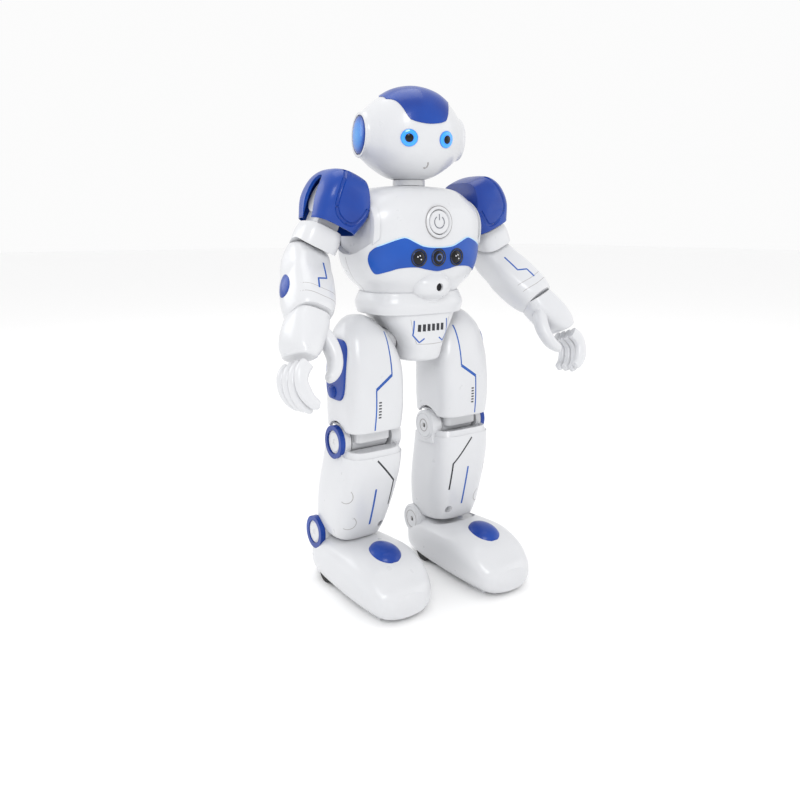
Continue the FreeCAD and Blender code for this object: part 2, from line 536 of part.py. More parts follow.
def build_foot_parts(lift):
    """Foot with its pin, rings, dome and wheels; lift raises the ankle above its nominal height."""
    outer, x, y, z = build_foot(lift)
    outer = outer.cut(box(x - 60, x + 60, -80, 80, -20.0, GROUND_CLEARANCE))
    hollow = sideways_y([
        (-36.0, x, 12.0, 15.6, 8.2, 3.0), (-22.0, x, 13.6, 16.6, 10.0, 3.2),
        (-8.0, x, 13.4, 16.2, 9.8, 3.4), (3.0, x, 12.8, 15.6, 9.2, 3.4)])
    foot = outer.cut(hollow)
    shin_foot = stack(SHIN_SECTIONS[:3], -0.6)
    shin_foot.translate(Vector(0, 0, z - ANKLE_Z))
    for swing in (-STRIDE_ANGLE - 0.5, 0.0, STRIDE_ANGLE + 0.5):
        foot = foot.cut(turned(shin_foot, (x, y, z), (1, 0, 0), swing))
    cheeks = []
    for low, high in ((x - 15.2, x - 8.6), (x + 8.6, x + 15.2)):
        cheeks.append(rod_x(low, high, y, z, 7.8))
        cheeks.append(box(low, high, y - 7.0, y + 7.0, 12.0, z))
    foot = join(foot, *cheeks)
    foot = foot.cut(box(x - 8.6, x + 8.6, y - 7.0, y + 8.0, z - 6.2, 60.0))
    foot = foot.cut(rod_x(x + 13.6, x + 30, y, z, 8.25).cut(rod_x(x, x + 30, y, z, 5.8)))
    ring_part = rod_x(x + 13.6, x + 16.4, y, z, 8.2).cut(rod_x(x, x + 30, y, z, 5.8))
    trunnions = rod_x(x - 9.0, x + 9.0, y, z, PIVOT_RADIUS)
    dome = sideways_y([(-33.0, x, 20.0, 3.0, 4.0, 2.2), (-30.0, x, 21.6, 6.6, 5.2, 2.2),
                       (-24.0, x, 22.4, 8.4, 6.2, 2.2), (-18.0, x, 22.6, 6.6, 5.8, 2.2),
                       (-15.0, x, 22.4, 3.0, 4.4, 2.2)])
    dome = dome.common(box(x - 30, x + 30, -60, 60, 22.0, 60))
    foot = foot.cut(dome)
    casing = box(x - 7.8, x + 7.8, WHEEL_Y - 6.0, WHEEL_Y + 6.0, GROUND_CLEARANCE, 12.4)
    foot = join(foot, casing, trunnions)
    for low in (x - 14.2, x + 7.8):
        foot = foot.cut(box(low, low + 6.4, WHEEL_Y - 7.2, WHEEL_Y + 7.2, -5.0, 13.8))
    foot = foot.cut(rod_x(x - 15.0, x + 15.0, WHEEL_Y, WHEEL_RADIUS, 1.5 + RUNNING_GAP))
    foot = join(foot, box(x - 11, x + 11, -37.0, -23.0, 0.0, 5.0))
    wheels = [rod_x(x - 13.8, x - 8.2, WHEEL_Y, WHEEL_RADIUS, WHEEL_RADIUS),
              rod_x(x + 8.2, x + 13.8, WHEEL_Y, WHEEL_RADIUS, WHEEL_RADIUS),
              rod_x(x - 14.9, x + 14.9, WHEEL_Y, WHEEL_RADIUS, 1.5)]
    return {"foot": foot, "ankle_ring": ring_part, "foot_dome": dome,
            "drive_wheels": join(*wheels)}



def write_parts(nodes):
    os.makedirs("parts", exist_ok=True)
    total = FreeCAD.BoundBox()
    for shape in nodes.values():
        total.add(shape.optimalBoundingBox(True, False))
    centre = Vector(-(total.XMin + total.XMax) / 2.0, -(total.YMin + total.YMax) / 2.0, -total.ZMin)
    print("box", total.XMin, total.XMax, total.YMin, total.YMax, total.ZMin, total.ZMax)
    for name, shape in nodes.items():
        shape.translate(centre)
        solids = shape.Solids
        if not shape.isValid() or not solids:
            print("BAD", name)
        print("%-22s solids %d volume %9.1f" % (name, len(solids), shape.Volume))
        shape.exportStep(os.path.join("parts", name + ".step"))


def main():
    nodes = {}
    nodes.update(build_head())
    nodes.update(build_torso())
    for name, shape in build_arm().items():
        nodes[name + "_left"] = shape
        nodes[name + "_right"] = mirrored(shape)
    for side, lean in (("left", -STRIDE_ANGLE), ("right", STRIDE_ANGLE)):
        thigh, panel, rest, shift, ankle = build_leg(lean)
        leg = {"thigh": thigh, "thigh_panel": panel}
        leg.update(rest)
        for name, shape in build_foot_parts(ankle[1] - ANKLE_Z).items():
            moved = shape.copy()
            moved.translate(shift)
            leg[name] = moved
        print(side, "ankle at", ankle)
        for name, shape in leg.items():
            nodes[name + "_" + side] = shape if side == "left" else mirrored(shape)
    print(len(nodes), "nodes")
    write_parts(nodes)


main()
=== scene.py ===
"""Looks of the walking toy robot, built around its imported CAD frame. Lengths here are in millimetres."""
import json
import math

import bmesh
import bpy
import numpy as np
from mathutils import Matrix, Vector
from mathutils.bvhtree import BVHTree


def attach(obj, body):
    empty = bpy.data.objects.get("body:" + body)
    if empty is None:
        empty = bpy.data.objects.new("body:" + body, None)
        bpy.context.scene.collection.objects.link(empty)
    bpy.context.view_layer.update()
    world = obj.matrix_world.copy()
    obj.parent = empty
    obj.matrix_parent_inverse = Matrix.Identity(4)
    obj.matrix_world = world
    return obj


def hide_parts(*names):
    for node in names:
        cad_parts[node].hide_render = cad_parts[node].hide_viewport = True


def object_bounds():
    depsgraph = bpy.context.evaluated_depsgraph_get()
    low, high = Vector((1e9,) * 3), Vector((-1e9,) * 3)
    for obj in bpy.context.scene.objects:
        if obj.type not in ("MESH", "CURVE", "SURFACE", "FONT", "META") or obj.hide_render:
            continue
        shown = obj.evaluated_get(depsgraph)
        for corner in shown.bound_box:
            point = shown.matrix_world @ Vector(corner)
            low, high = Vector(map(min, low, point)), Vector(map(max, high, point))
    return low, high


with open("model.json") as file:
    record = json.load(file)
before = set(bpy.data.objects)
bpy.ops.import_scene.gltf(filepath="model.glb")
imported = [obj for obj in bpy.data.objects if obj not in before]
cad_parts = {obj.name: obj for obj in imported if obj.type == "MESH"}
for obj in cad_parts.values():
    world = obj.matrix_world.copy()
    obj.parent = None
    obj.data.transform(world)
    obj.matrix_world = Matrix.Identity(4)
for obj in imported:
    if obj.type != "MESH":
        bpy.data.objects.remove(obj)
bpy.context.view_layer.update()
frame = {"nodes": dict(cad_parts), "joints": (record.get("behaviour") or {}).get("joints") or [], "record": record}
NODES = frame["nodes"]
JOINTS = {joint["name"]: joint for joint in frame["joints"]}
MM = 0.001

# ---- Places taken from the frame ----
NECK = Vector(JOINTS["neck_turn"]["pos_m"]) / MM
SHOULDER = Vector(JOINTS["shoulder_left"]["pos_m"]) / MM
ELBOW = Vector(JOINTS["elbow_left"]["pos_m"]) / MM
OUTWARD = Vector(JOINTS["elbow_left"]["axis"]).normalized()
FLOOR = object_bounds()[0][2]
HEAD_TURN = math.radians(-12.0)
ELBOW_BEND = math.radians(-43.0)
HAND_DROOP = math.radians(24.0)
WRIST_DROP = 32.0
LEAN = {"left": math.radians(-4.5), "right": math.radians(4.5)}
MIRROR = Matrix.Diagonal((-1.0, 1.0, 1.0, 1.0))


def place(origin, columns=None):
    matrix = Matrix.Identity(4)
    if columns:
        for index, column in enumerate(columns):
            for row in range(3):
                matrix[row][index] = column[row]
    matrix.translation = Vector(origin)
    return matrix


BODY = place((0.0, NECK.y, 0.0))
HEAD = place((0.0, NECK.y, 0.0)) @ Matrix.Rotation(HEAD_TURN, 4, "Z")
ARM = place(SHOULDER, (OUTWARD, Vector((0, 1, 0)), OUTWARD.cross(Vector((0, 1, 0)))))
ELBOW_LOCAL = ARM.inverted() @ ELBOW
FOREARM = ARM @ Matrix.Translation(ELBOW_LOCAL) @ Matrix.Rotation(ELBOW_BEND, 4, "X")
HAND = FOREARM @ Matrix.Translation((0, 0, -WRIST_DROP)) @ Matrix.Rotation(HAND_DROOP, 4, "X")


def joint_point(name):
    return Vector(JOINTS[name]["pos_m"]) / MM


# ---- Materials ----
def shader(name, colour, roughness, **sockets):
    material = bpy.data.materials.new(name)
    material.use_nodes = True
    tree = material.node_tree
    principled = tree.nodes["Principled BSDF"]
    principled.inputs["Base Color"].default_value = (*colour, 1.0)
    principled.inputs["Roughness"].default_value = roughness
    for socket, value in sockets.items():
        principled.inputs[socket.replace("_", " ")].default_value = value
    return material, tree, principled


def link(tree, node_out, socket_out, node_in, socket_in):
    tree.links.new(node_out.outputs[socket_out], node_in.inputs[socket_in])


def noise(tree, scale, detail=3.0, rough=0.5):
    coords = tree.nodes.new("ShaderNodeTexCoord")
    texture = tree.nodes.new("ShaderNodeTexNoise")
    texture.inputs["Scale"].default_value = scale
    texture.inputs["Detail"].default_value = detail
    texture.inputs["Roughness"].default_value = rough
    link(tree, coords, "Object", texture, "Vector")
    return texture


def ramp(tree, source, socket, stops):
    node = tree.nodes.new("ShaderNodeValToRGB")
    elements = node.color_ramp.elements
    while len(elements) < len(stops):
        elements.new(0.5)
    for element, (position, colour) in zip(elements, stops):
        element.position = position
        element.color = (*colour, 1.0)
    link(tree, source, socket, node, "Fac")
    return node


def moulded(name, dark, light, low, high, grain, strength, **sockets):
    """Moulded plastic: slow colour drift, uneven gloss and a fine surface texture."""
    material, tree, principled = shader(name, light, low, **sockets)
    drift = noise(tree, 45.0, 2.0)
    link(tree, ramp(tree, drift, "Fac", [(0.3, dark), (0.7, light)]), "Color", principled, "Base Color")
    gloss = noise(tree, 160.0, 4.0)
    levels = ramp(tree, gloss, "Fac", [(0.25, (low,) * 3), (0.8, (high,) * 3)])
    link(tree, levels, "Color", principled, "Roughness")
    fine = noise(tree, grain, 2.0)
    bump = tree.nodes.new("ShaderNodeBump")
    bump.inputs["Strength"].default_value = strength
    bump.inputs["Distance"].default_value = 0.0004
    link(tree, fine, "Fac", bump, "Height")
    link(tree, bump, "Normal", principled, "Normal")
    return material


def radial(name, stops, roughness, emission=0.0, **sockets):
    """Colour by distance from the piece's own centre line, for discs and lenses."""
    material, tree, principled = shader(name, stops[-1][1], roughness, **sockets)
    coords = tree.nodes.new("ShaderNodeUVMap")
    coords.uv_map = "disc"
    gradient = tree.nodes.new("ShaderNodeTexGradient")
    gradient.gradient_type = "LINEAR"
    link(tree, coords, "UV", gradient, "Vector")
    colours = ramp(tree, gradient, "Fac", stops)
    link(tree, colours, "Color", principled, "Base Color")
    if emission:
        link(tree, colours, "Color", principled, "Emission Color")
        principled.inputs["Emission Strength"].default_value = emission
    fine = noise(tree, 900.0, 2.0)
    bump = tree.nodes.new("ShaderNodeBump")
    bump.inputs["Strength"].default_value = 0.03
    bump.inputs["Distance"].default_value = 0.0003
    link(tree, fine, "Fac", bump, "Height")
    link(tree, bump, "Normal", principled, "Normal")
    return material


WHITE = moulded("white_plastic", (0.615, 0.622, 0.642), (0.635, 0.642, 0.66), 0.27, 0.31, 1500.0, 0.04,
                Coat_Weight=0.25, Coat_Roughness=0.12)
BLUE = moulded("blue_plastic", (0.002, 0.030, 0.24), (0.004, 0.055, 0.34), 0.28, 0.36, 1300.0, 0.06,
               Coat_Weight=0.2, Coat_Roughness=0.08, Specular_IOR_Level=0.3)
BAND_BLUE = moulded("band_blue", (0.004, 0.055, 0.32), (0.006, 0.080, 0.42), 0.28, 0.36, 1300.0, 0.05,
                    Coat_Weight=0.15, Specular_IOR_Level=0.3, Coat_Roughness=0.1)
PAINT_BLUE = moulded("paint_blue", (0.008, 0.07, 0.33), (0.012, 0.10, 0.42), 0.35, 0.5, 1800.0, 0.05)
PAINT_BLACK = moulded("paint_black", (0.008, 0.008, 0.012), (0.02, 0.022, 0.03), 0.35, 0.5, 1800.0, 0.05)
# Painted shade: dark grey strips laid along grooves, seams and ring gaps, standing for the shadow inside them.
SEAM_SHADE = moulded("seam_shadow", (0.30, 0.29, 0.29), (0.40, 0.385, 0.38), 0.5, 0.7, 1200.0, 0.05)
BLACK = moulded("black_plastic", (0.006, 0.006, 0.007), (0.015, 0.015, 0.017), 0.3, 0.45, 1200.0, 0.1)
GLASS = moulded("black_lens", (0.001, 0.001, 0.002), (0.003, 0.003, 0.006), 0.08, 0.14, 500.0, 0.01,
                Coat_Weight=0.15, Coat_Roughness=0.03, Specular_IOR_Level=0.25)
RUBBER = moulded("wheel_rubber", (0.012, 0.012, 0.012), (0.03, 0.03, 0.03), 0.6, 0.8, 900.0, 0.3)
STEEL = moulded("pin_steel", (0.35, 0.34, 0.32), (0.5, 0.49, 0.47), 0.28, 0.4, 800.0, 0.1, Metallic=1.0)
BOARD = moulded("circuit_board", (0.01, 0.09, 0.04), (0.02, 0.16, 0.07), 0.4, 0.55, 400.0, 0.15)
WRAP = moulded("battery_wrap", (0.02, 0.06, 0.25), (0.03, 0.1, 0.35), 0.3, 0.45, 300.0, 0.1)
EAR = radial("ear_blue", [(0.0, (0.04, 0.30, 0.74)), (0.62, (0.02, 0.19, 0.62)),
                          (0.86, (0.006, 0.07, 0.38)), (1.0, (0.002, 0.02, 0.16))],
             0.24, Coat_Weight=0.1, Specular_IOR_Level=0.3)
EYE = radial("eye_glow", [(0.45, (0.0, 0.14, 0.62)), (0.62, (0.0, 0.24, 0.85)),
                          (0.86, (0.01, 0.26, 0.88)), (1.0, (0.0, 0.10, 0.42))],
             0.2, emission=0.5, Coat_Weight=1.0, Coat_Roughness=0.03)

# Painted highlight: pale blue strip standing for light caught along the chest band's top edge.
BAND_EDGE_HIGHLIGHT = moulded("painted_edge_highlight", (0.35, 0.62, 0.86), (0.45, 0.72, 0.92), 0.25, 0.35, 900.0, 0.02)
BLUE_GLASS = moulded("iris_blue", (0.01, 0.05, 0.2), (0.02, 0.08, 0.3), 0.1, 0.2, 600.0, 0.02,
                     Coat_Weight=1.0)
LAMP = moulded("lamp_clear", (0.55, 0.56, 0.6), (0.8, 0.8, 0.82), 0.05, 0.12, 600.0, 0.02,
               Coat_Weight=1.0)
PAINT_GREY = moulded("symbol_grey", (0.16, 0.17, 0.2), (0.24, 0.25, 0.28), 0.4, 0.5, 1500.0, 0.05)
FINISH = {
    "white_plastic": WHITE, "blue_plastic": BLUE, "pale_blue_plastic": EAR, "eye_glow": EYE,
    "black_lens": GLASS, "black_plastic": BLACK, "circuit_board": BOARD, "battery_wrap": WRAP,
    "wheel_plastic": RUBBER, "steel": STEEL,
}
SLOT_OF = {row["node"]: row["material_slot"] for row in frame["record"]["subparts"]}
for node_name, node in NODES.items():
    node.data.materials.clear()
    node.data.materials.append(FINISH[SLOT_OF[node_name]])
    node.data.set_sharp_from_angle(angle=math.radians(32))
    for polygon in node.data.polygons:
        polygon.use_smooth = True


# ---- Mesh building ----
def superellipse(count, power):
    angle = np.linspace(0.0, 2.0 * math.pi, count, endpoint=False)
    cosine = np.cos(angle)
    sine = np.sin(angle)
    x = np.sign(cosine) * np.abs(cosine) ** (2.0 / power)
    y = np.sign(sine) * np.abs(sine) ** (2.0 / power)
    return x, y


def smooth_rows(sections, steps):
    """Catmull-Rom through the sections' rows, evenly divided."""
    rows = np.array(sections, float)
    padded = np.vstack([2 * rows[0] - rows[1], rows, 2 * rows[-1] - rows[-2]])
    result = []
    for index in range(len(rows) - 1):
        p0, p1, p2, p3 = padded[index:index + 4]
        last = index == len(rows) - 2
        for t in np.linspace(0, 1, steps, endpoint=False).tolist() + ([1.0] if last else []):
            result.append(0.5 * (2 * p1 + (p2 - p0) * t + (2 * p0 - 5 * p1 + 4 * p2 - p3) * t ** 2
                                 + (3 * p1 - p0 - 3 * p2 + p3) * t ** 3))
    return result


AXES = {"z": (0, 1, 2), "x": (1, 2, 0), "y": (0, 2, 1)}


def ring_points(row, axis, count):
    """Ring for a row (position, centre a, centre b, half a, half b, power)."""
    position, ca, cb, a, b, power = row
    x, y = superellipse(count, max(power, 1.2))
    points = np.zeros((count, 3))
    first, second, third = AXES[axis]
    points[:, first] = ca + a * x
    points[:, second] = cb + b * y
    points[:, third] = position
    return points


def grid_mesh(name, rings, closed=True, caps=True):
    """Quad skin over a list of rings."""
    count = len(rings[0])
    verts = np.vstack(rings)
    faces = []
    span = count if closed else count - 1
    for r in range(len(rings) - 1):
        for c in range(span):
            d = (c + 1) % count
            faces.append((r * count + c, r * count + d, (r + 1) * count + d, (r + 1) * count + c))
    if caps and closed:
        faces.append(tuple(range(count))[::-1])
        faces.append(tuple((len(rings) - 1) * count + c for c in range(count)))
    mesh = bpy.data.meshes.new(name)
    mesh.from_pydata([tuple(v) for v in verts], [], faces)
    mesh.validate()
    if caps and closed:
        work = bmesh.new()
        work.from_mesh(mesh)
        if work.calc_volume(signed=True) < 0:
            bmesh.ops.reverse_faces(work, faces=work.faces)
        work.to_mesh(mesh)
        work.free()
    return mesh


def add(name, mesh, matrix, material, body, replaces=(), mirror=False, bevel=0.0,
        sharp=40.0, thick=0.0):
    """Turns a millimetre mesh in a local frame into a finished piece of the model."""
    full = Matrix.Scale(MM, 4) @ (MIRROR if mirror else Matrix.Identity(4)) @ matrix
    mesh.transform(full)
    work = bmesh.new()
    work.from_mesh(mesh)
    bmesh.ops.recalc_face_normals(work, faces=work.faces)
    work.to_mesh(mesh)
    work.free()
    obj = bpy.data.objects.new(name, mesh)
    bpy.context.scene.collection.objects.link(obj)
    if thick:
        solid = obj.modifiers.new("thickness", "SOLIDIFY")
        solid.thickness = thick * MM
        solid.offset = -1.0
    if bevel:
        edge = obj.modifiers.new("soft_edges", "BEVEL")
        edge.width = bevel * MM
        edge.segments = 3
        edge.limit_method = "ANGLE"
        edge.angle_limit = math.radians(35)
        edge.harden_normals = False
    if thick or bevel:
        bake(obj)
    finish_surface(obj, sharp)
    obj.data.materials.clear()
    obj.data.materials.append(material)
    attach(obj, body)
    if replaces:
        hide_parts(*replaces)
    return obj


def bake(obj):
    bpy.context.view_layer.update()
    evaluated = obj.evaluated_get(bpy.context.evaluated_depsgraph_get())
    mesh = bpy.data.meshes.new_from_object(evaluated)
    obj.modifiers.clear()
    obj.data = mesh


def finish_surface(obj, sharp):
    for polygon in obj.data.polygons:
        polygon.use_smooth = True
    obj.data.set_sharp_from_angle(angle=math.radians(sharp))


def lofted(sections, axis="z", steps=10, count=112, caps=True):
    """Dense skin through sections."""
    rows = smooth_rows(sections, steps)
    rings = [ring_points(row, axis, count) for row in rows]
    return grid_mesh("skin", rings, caps=caps)


def rounded(sections, radius, axis="z", ends=(True, True)):
    """Adds small rounded shoulders at the ends of a section list."""
    rows = [list(r) for r in sections]
    result = []
    for which, row, sign in ((0, rows[0], 1), (1, rows[-1], -1)):
        if not ends[which]:
            continue
        direction = 1 if rows[-1][0] > rows[0][0] else -1
        steps = []
        for angle in (0, 22, 45, 68, 90):
            t = math.radians(angle)
            shrink = radius * (1 - math.sin(t))
            along = radius * (1 - math.cos(t))
            steps.append([row[0] + sign * direction * along, row[1], row[2],
                          row[3] - shrink, row[4] - shrink, row[5]])
        if which == 0:
            result = steps + rows[1:]
        else:
            result = (result or rows[:]) [:-1] + steps[::-1]
    return result


def cut(obj, tool_meshes, operation="DIFFERENCE"):
    """Boolean with throw-away tool meshes, given in the same local millimetre frame."""
    for index, mesh in enumerate(tool_meshes):
        tool = bpy.data.objects.new("tool", mesh)
        bpy.context.scene.collection.objects.link(tool)
        modifier = obj.modifiers.new("cut", "BOOLEAN")
        modifier.object = tool
        modifier.operation = operation
        modifier.solver = "EXACT"
        bake(obj)
        bpy.data.objects.remove(tool)


def local_object(mesh):
    obj = bpy.data.objects.new("work", mesh)
    bpy.context.scene.collection.objects.link(obj)
    return obj


def carve(mesh, tools, operation="DIFFERENCE"):
    """Boolean on a loose mesh; returns the resulting mesh."""
    obj = local_object(mesh)
    for tool in [mesh] + tools:
        work = bmesh.new()
        work.from_mesh(tool)
        bmesh.ops.recalc_face_normals(work, faces=work.faces)
        work.to_mesh(tool)
        work.free()
    cut(obj, tools, operation)
    result = obj.data
    bpy.data.objects.remove(obj)
    return result


def rod(start, end, radius, count=64):
    """Closed cylinder mesh between two points."""
    a = Vector(start)
    b = Vector(end)
    quaternion = (b - a).to_track_quat("Z", "Y")
    rings = []
    for point in (a, b):
        ring = []
        for k in range(count):
            angle = 2 * math.pi * k / count
            ring.append(point + quaternion @ Vector((radius * math.cos(angle), radius * math.sin(angle), 0)))
        rings.append(np.array(ring))
    return grid_mesh("rod", rings)


def lathe(profile, count=96):
    """Surface of revolution about local Z through (radius, height) points; UV u is radius share."""
    rings = []
    for radius, height in profile:
        angle = np.linspace(0, 2 * math.pi, count, endpoint=False)
        ring = np.stack([radius * np.cos(angle), radius * np.sin(angle), np.full(count, height)], 1)
        rings.append(ring)
    mesh = grid_mesh("turned", rings)
    layer = mesh.uv_layers.new(name="disc")
    largest = max(radius for radius, height in profile)
    for loop in mesh.loops:
        point = mesh.vertices[loop.vertex_index].co
        layer.data[loop.index].uv = (math.hypot(point.x, point.y) / largest, 0.5)
    return mesh


def facing(origin, direction):
    """Frame whose Z looks along a direction."""
    return Matrix.Translation(Vector(origin)) @ Vector(direction).to_track_quat("Z", "Y").to_matrix().to_4x4()


def tree_of(mesh):
    return BVHTree.FromPolygons([v.co.copy() for v in mesh.vertices],
                                [tuple(p.vertices) for p in mesh.polygons])


def drape(tree, start, way):
    """Where a ray from start along way meets a surface, with the normal facing back."""
    way = Vector(way).normalized()
    point, normal = tree.ray_cast(Vector(start), way)[:2]
    if point is None:
        return None, None
    if normal.dot(way) > 0:
        normal = -normal
    return point, normal


def ribbon(tree, path, way, width, rise=0.12, sink=0.5, step=0.7, reach=80.0, taper=None):
    """Thin strip of paint or a raised line that follows a surface along a path of points."""
    points = [Vector(p) for p in path]
    samples = []
    for a, b in zip(points, points[1:]):
        divisions = max(1, int((b - a).length / step))
        for k in range(divisions):
            samples.append(a.lerp(b, k / divisions))
    samples.append(points[-1])
    hits = []
    for sample in samples:
        point, normal = drape(tree, sample - Vector(way).normalized() * reach, way)
        if point is not None:
            hits.append((point, normal))
    rings = []
    for index, (point, normal) in enumerate(hits):
        before = hits[max(index - 1, 0)][0]
        after = hits[min(index + 1, len(hits) - 1)][0]
        tangent = (after - before).normalized()
        side = tangent.cross(normal).normalized()
        half = width / 2.0
        if taper:
            half *= taper(index / max(len(hits) - 1, 1))
        top = point + normal * rise
        bottom = point - normal * sink
        rings.append(np.array([top - side * half * 0.8, top + side * half * 0.8,
                               top + side * half - normal * rise * 0.6, bottom + side * half,
                               bottom - side * half, top - side * half - normal * rise * 0.6]))
    return grid_mesh("ribbon", rings)


def patch(tree, outline_rows, way, rise, reach=80.0):
    """Skin patch draped on a surface. Rows are lists of points with equal counts."""
    rings = []
    for row in outline_rows:
        ring = []
        for sample in row:
            point, normal = drape(tree, Vector(sample) - Vector(way).normalized() * reach, way)
            if point is None:
                point, normal, _, _ = tree.find_nearest(Vector(sample))
            ring.append(point + normal * rise)
        rings.append(np.array([tuple(p) for p in ring]))
    return grid_mesh("patch", rings, closed=False, caps=False)


# ---- Camera, floor and light ----
def build_stage():
    camera_data = bpy.data.cameras.new("camera")
    camera = bpy.data.objects.new("camera", camera_data)
    bpy.context.scene.collection.objects.link(camera)
    look = Vector((0.574, 0.819, 0.0))
    distance = 400.0
    eye = Vector((0.0, NECK.y, 186.0)) - look * distance
    camera.location = eye * MM
    camera.rotation_euler = look.to_track_quat("-Z", "Y").to_euler()
    camera_data.lens = 33.3
    camera_data.sensor_width = 36.0
    camera_data.shift_x = -0.011
    camera_data.shift_y = -0.215
    camera_data.clip_start = 0.01
    bpy.context.scene.camera = camera

    mesh = bpy.data.meshes.new("floor")
    side = 6.0
    mesh.from_pydata([(-side, -side, FLOOR), (side, -side, FLOOR), (side, side, FLOOR),
                      (-side, side, FLOOR)], [], [(0, 1, 2, 3)])
    floor = bpy.data.objects.new("floor", mesh)
    bpy.context.scene.collection.objects.link(floor)
    material, tree, principled = shader("pale_floor", (0.97, 0.97, 0.97), 0.8)
    mesh.materials.append(material)

    world = bpy.data.worlds.new("studio")
    world.use_nodes = True
    background = world.node_tree.nodes["Background"]
    background.inputs["Color"].default_value = (1.0, 1.0, 1.0, 1.0)
    background.inputs["Strength"].default_value = 0.97
    bpy.context.scene.world = world
    bpy.context.scene.view_settings.view_transform = "Standard"

    for name, place_at, size, power, tint in (
            ("key", (-0.55, -0.75, 0.75), 0.4, 3.4, (1.0, 1.0, 1.0)),
            ("fill", (0.8, -0.5, 0.35), 0.6, 0.8, (1.0, 0.98, 0.97)),
            ("top", (0.05, 0.2, 1.0), 0.6, 1.6, (1.0, 1.0, 1.0)),
            ("rim", (-0.5, 0.7, 0.5), 0.4, 1.0, (0.97, 0.98, 1.0))):
        data = bpy.data.lights.new(name, "AREA")
        data.size = size
        data.energy = power
        data.color = tint
        lamp = bpy.data.objects.new(name, data)
        lamp.location = place_at
        aim = Vector((0, 0, 0.15)) - Vector(place_at)
        lamp.rotation_euler = aim.to_track_quat("-Z", "Y").to_euler()
        bpy.context.scene.collection.objects.link(lamp)


# ---- Head ----
HEAD_ROWS = [
    (-28.6, 0.5, 235.0, 12.0, 12.0, 2.0), (-26.4, 0.4, 235.1, 12.6, 12.7, 2.05),
    (-23.6, 0.2, 235.4, 15.2, 15.0, 2.15), (-18.8, 0.0, 235.8, 20.2, 18.8, 2.2),
    (-10.5, 0.0, 236.2, 25.4, 23.6, 2.2), (0.0, 0.0, 236.3, 26.8, 25.5, 2.2),
    (10.5, 0.0, 236.2, 25.4, 23.6, 2.2), (18.8, 0.0, 235.8, 20.2, 18.8, 2.2),
    (23.6, 0.2, 235.4, 15.2, 15.0, 2.15), (26.4, 0.4, 235.1, 12.6, 12.7, 2.05),
    (28.6, 0.5, 235.0, 12.0, 12.0, 2.0)]
EYES = ((-1, "eye_light_right"), (1, "eye_light_left"))


def build_head():
    shell = lofted(HEAD_ROWS, "x", 12, 160)
    tree = tree_of(shell)
    ears = [rod((side * 27.6, 0.5, 235.0), (side * 33.0, 0.5, 235.0), 10.6, 96) for side in (-1, 1)]
    shell = carve(shell, ears)
    add("head_shell", shell, HEAD, WHITE, "head",
        ("face_shell", "head_rear_shell"), bevel=0.25, sharp=30)
    profile = [(0.01, 1.5), (3.0, 1.45), (6.0, 1.2), (8.2, 0.8), (9.6, 0.35), (10.2, -0.1), (10.3, -0.9),
               (0.01, -0.9)]
    for side, name in ((-1, "ear_disc_right"), (1, "ear_disc_left")):
        add(name + "_cover", lathe(profile), HEAD @ facing((side * 28.3, 0.5, 235.0), (side, 0, 0)),
            EAR, "head", (name,), sharp=50)

    # The visor cap: wide over the brow, pulled in to a narrow tongue above the eyes.
    half_width = 17.8
    rows = []
    for x in np.linspace(-half_width, half_width, 61):
        share = abs(x) / half_width
        brow = 239.3 + 13.6 / (1.0 + math.exp(-(abs(x) - 12.4) * 0.75))
        brow -= 0.4 * math.cos(x / 9.0 * math.pi) * (abs(x) < 9)
        back = 12.0 * math.sqrt(max(0.0, 1.0 - share ** 2)) - 3.0
        rows.append((x, brow, back))
    rings = []
    for x, brow, back in rows:
        start, _ = drape(tree, (x, -80.0, brow), (0, 1, 0))
        end, _ = drape(tree, (x, back, 300.0), (0, 0, -1))
        centre = Vector((x, 0.0, 236.0))
        first = math.atan2(start.z - centre.z, -(start.y - centre.y))
        last = math.atan2(end.z - centre.z, -(end.y - centre.y))
        ring = []
        for t in np.linspace(0, 1, 49):
            angle = first + (last - first) * t
            way = Vector((0, -math.cos(angle), math.sin(angle)))
            point, normal = tree.ray_cast(centre + way * 60.0, -way)[:2]
            ring.append(tuple(point + normal * (0.45 if normal.dot(way) > 0 else -0.45)))
        rings.append(np.array(ring))
    cap = grid_mesh("cap", rings, closed=False, caps=False)
    add("visor_cap", cap, HEAD, BLUE, "head", ("head_cap",), bevel=0.3, thick=1.2)

    eye_profile = [(0.01, 0.75), (1.5, 0.72), (3.0, 0.55), (4.0, 0.28), (4.45, 0.0), (4.5, -1.4),
                   (0.01, -1.4)]
    pupil_profile = [(0.01, 1.15), (1.0, 1.1), (1.8, 0.9), (2.25, 0.6), (2.3, -0.5), (0.01, -0.5)]
    for side, name in EYES:
        point, normal = drape(tree, (side * 10.4, -80.0, 231.5), (0, 1, 0))
        matrix = HEAD @ facing(point, normal)
        add(name + "_ring", lathe(eye_profile), matrix, EYE, "head", (name,), sharp=50)
        add(name + "_pupil", lathe(pupil_profile), matrix, GLASS, "head",
            ("eye_pupils",) if side > 0 else (), sharp=50)
    # The mouth groove is drawn as a strip of painted shade, not cut into the shell.
    mouth = [(1.6, 219.8), (2.1, 218.6), (1.8, 217.4), (0.9, 216.8), (0.2, 217.4)]
    path = [(x, -30.0, z) for x, z in mouth]
    add("mouth_groove_shade", ribbon(tree, path, (0, 1, 0), 0.85, rise=0.05, sink=0.3, step=0.3), HEAD,
        SEAM_SHADE, "head")
    return tree


